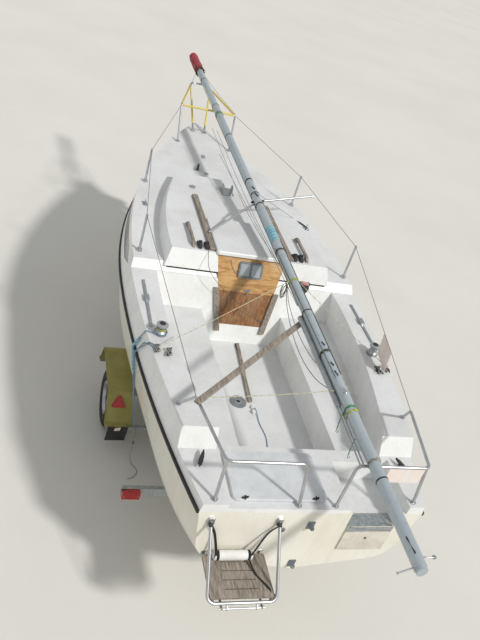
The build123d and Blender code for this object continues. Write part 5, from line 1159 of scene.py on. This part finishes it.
addPiece("padSheet", [sheetTop, sheetFront, screws], "galvanised")
addPiece("padBolt", turned([(0, 0), (0.010, 0), (0.010, 0.004), (0.006, 0.007), (0, 0.007)],
                           np.array([(padLow[0] + padHigh[0]) / 2, padLow[1], padHigh[2] - 0.135]),
                           (0, -1, 0), 16), "painted_iron")

# caps of the winch drums and the ribs round their waists
for name, sideways in (("port", -1), ("starboard", 1)):
    top = boat(sideways * 1025, 1690, 340.2)
    addPiece("winchCap" + name.capitalize(), [
        turned([(0, 0.0), (0.027, 0.0), (0.027, 0.003), (0.024, 0.0045), (0.010, 0.0045), (0.010, 0.0015),
                (0, 0.0015)], top, (0, 0, 1), 32)], "black_nylon", body="winch_" + name)
    ribs = turned([(0, 0), (0.0016, 0), (0.0016, 0.020), (0, 0.020)], (0, 0, 0), (0, 0, 1), 6)
    around = np.linspace(0, 2 * np.pi, 28, endpoint=False)
    seats = np.stack((0.0347 * np.cos(around), 0.0347 * np.sin(around), 0 * around - 0.069), 1) + top
    addPiece("winchRibs" + name.capitalize(), copied(ribs, seats), "stainless", body="winch_" + name)

# the pale red card in the compass
card = turned([(0, 0), (0.043, 0), (0.041, 0.0018), (0.02, 0.0032), (0, 0.0035)],
              compassAt - (0, 0, 0.0004), (0, 0, 1), 40)
addPiece("compassCard", card, "compass_card", "red_lens")

# small bare plates near the top of the mud flaps
plates = [slab(roundedBox(0.062, 0.048, 0.004), 0.0015, ground(side * 1155, 1813.6, 388), (1, 0, 0),
               (0, 0, 1), 0.0004) for side in (-1, 1)]
addPiece("flapPlates", plates, "pale_board")

# loose end of a lashing: it hangs from the guard arm, knotted half-way, and its tail lies on the floor
looseCord("lashingTail", [ground(-985, 1838, 400), ground(-985, 1815, 400), ground(-980, 1790, 330),
                          ground(-978, 1795, 200), ground(-976, 1780, 40), ground(-960, 1730, 5),
                          ground(-900, 1650, 5), ground(-930, 1560, 5), ground(-1010, 1530, 5)], 0.006,
          "grey_rope", lean=(1, 0.1, 0.05))
t = np.linspace(0, 2 * np.pi * 2.2, 60)
tailKnot = ground(-978, 1795, 215) + np.stack((0.009 * np.cos(t), 0.009 * np.sin(t), 0.0026 * t), 1)
addPiece("tailKnot", tube(tailKnot, 0.0034, 8, lean=(0.1, 0.1, 1)), "grey_rope")

# a thin brown wire that hangs in a loop before the upper board, from the hatch to the vent
boardSkin = trianglesOf("washboard_upper", "vent_frame", "sliding_hatch")
loopStops = []
for x, z in ((-225, 430), (-205, 370), (-150, 300), (-60, 262), (25, 285), (60, 330)):
    hit = boardSkin.ray_cast(Vector(boat(x, 1800, z)), Vector((0, 1, 0)))[0]
    loopStops.append(np.array(hit) - (0, 0.006, 0))
looseCord("boardWire", loopStops, 0.0035, "brown_wire", lean=(0, 1, 0))
print("small fittings")

# floor, sky and sun: strengths, and degrees from upright and from ahead
setting = {"floorTone": "#D9D7D1", "skyTone": "#F2F4F6", "skyLevel": 0.6, "skySeen": 0.86, "sunTilt": 46,
           "sunTurn": 142, "sunLevel": 2.45, "sunSoftDeg": 5, "floorReach": 120.0}

floorMesh = bpy.data.meshes.new("studioFloor")
reach = setting["floorReach"]
floorMesh.from_pydata([(-reach, -reach, 0), (reach, -reach, 0), (reach, reach, 0), (-reach, reach, 0)], [],
                      [(0, 1, 2, 3)])
studioFloor = bpy.data.objects.new("studioFloor", floorMesh)
bpy.context.scene.collection.objects.link(studioFloor)
# painted plaster: even and pale, with the faintest mottling
floorMesh.materials.append(mottled({"name": "palePlaster", "base": setting["floorTone"], "worn": "#D4D2CC",
                                    "dirtAndCreviceShade": "#C4C2BC", "patchMm": 3000, "grainMm": 60, "bump": 0.02,
                                    "rough": (0.85, 0.95), "stain": 0.0, "speck": 0.1, "specular": 0.2}))

world = bpy.data.worlds.new("paleStudio")
bpy.context.scene.world = world
world.use_nodes = True
sky = world.node_tree
sky.nodes.clear()
rays = addNode(sky, "LightPath")
seen = addNode(sky, "Math", {0: rays.outputs["Is Camera Ray"], 1: rays.outputs["Is Transmission Ray"]},
               operation="MAXIMUM").outputs[0]
level = addNode(sky, "MapRange", {"Value": seen, "To Min": setting["skyLevel"],
                                  "To Max": setting["skySeen"]}).outputs[0]
lit = addNode(sky, "Background", {"Color": linearColour(setting["skyTone"]), "Strength": level})
addNode(sky, "OutputWorld", {"Surface": lit.outputs[0]})

sun = bpy.data.lights.new("softSun", "SUN")
sun.energy = setting["sunLevel"]
sun.angle = math.radians(setting["sunSoftDeg"])
sun.color = (1.0, 0.975, 0.94)
sunLamp = bpy.data.objects.new("softSun", sun)
turn, tilt = math.radians(setting["sunTurn"]), math.radians(setting["sunTilt"])
towardSun = Vector((math.sin(turn) * math.sin(tilt), math.cos(turn) * math.sin(tilt), math.cos(tilt)))
sunLamp.rotation_euler = towardSun.to_track_quat("Z", "Y").to_euler()
bpy.context.scene.collection.objects.link(sunLamp)

# the camera as fitted to the photo
view = {"eye": (-2.337, -6.428, 5.221), "yaw": 22.79, "pitch": 33.08, "roll": 18.98, "focalPx": 700,
        "photoHighPx": 640, "sensorMm": 36}
yaw, pitch, roll = (math.radians(view[key]) for key in ("yaw", "pitch", "roll"))
forward = Vector((math.sin(yaw) * math.cos(pitch), math.cos(yaw) * math.cos(pitch), -math.sin(pitch)))
across = Vector((math.cos(yaw), -math.sin(yaw), 0))
above = across.cross(forward)
imageRight = math.cos(roll) * across + math.sin(roll) * above
imageUp = -math.sin(roll) * across + math.cos(roll) * above
camera = bpy.data.cameras.new("photoCamera")
camera.sensor_fit = "VERTICAL"
camera.sensor_height = view["sensorMm"]
camera.lens = view["sensorMm"] * view["focalPx"] / view["photoHighPx"]
camera.clip_start, camera.clip_end = 0.1, 300
cameraObject = bpy.data.objects.new("photoCamera", camera)
turnTo = Matrix((imageRight, imageUp, -forward)).transposed().to_4x4()
cameraObject.matrix_world = Matrix.Translation(Vector(view["eye"])) @ turnTo
bpy.context.scene.collection.objects.link(cameraObject)
bpy.context.scene.camera = cameraObject
bpy.context.scene.view_settings.view_transform = "Standard"
print("floor, light and camera are set")
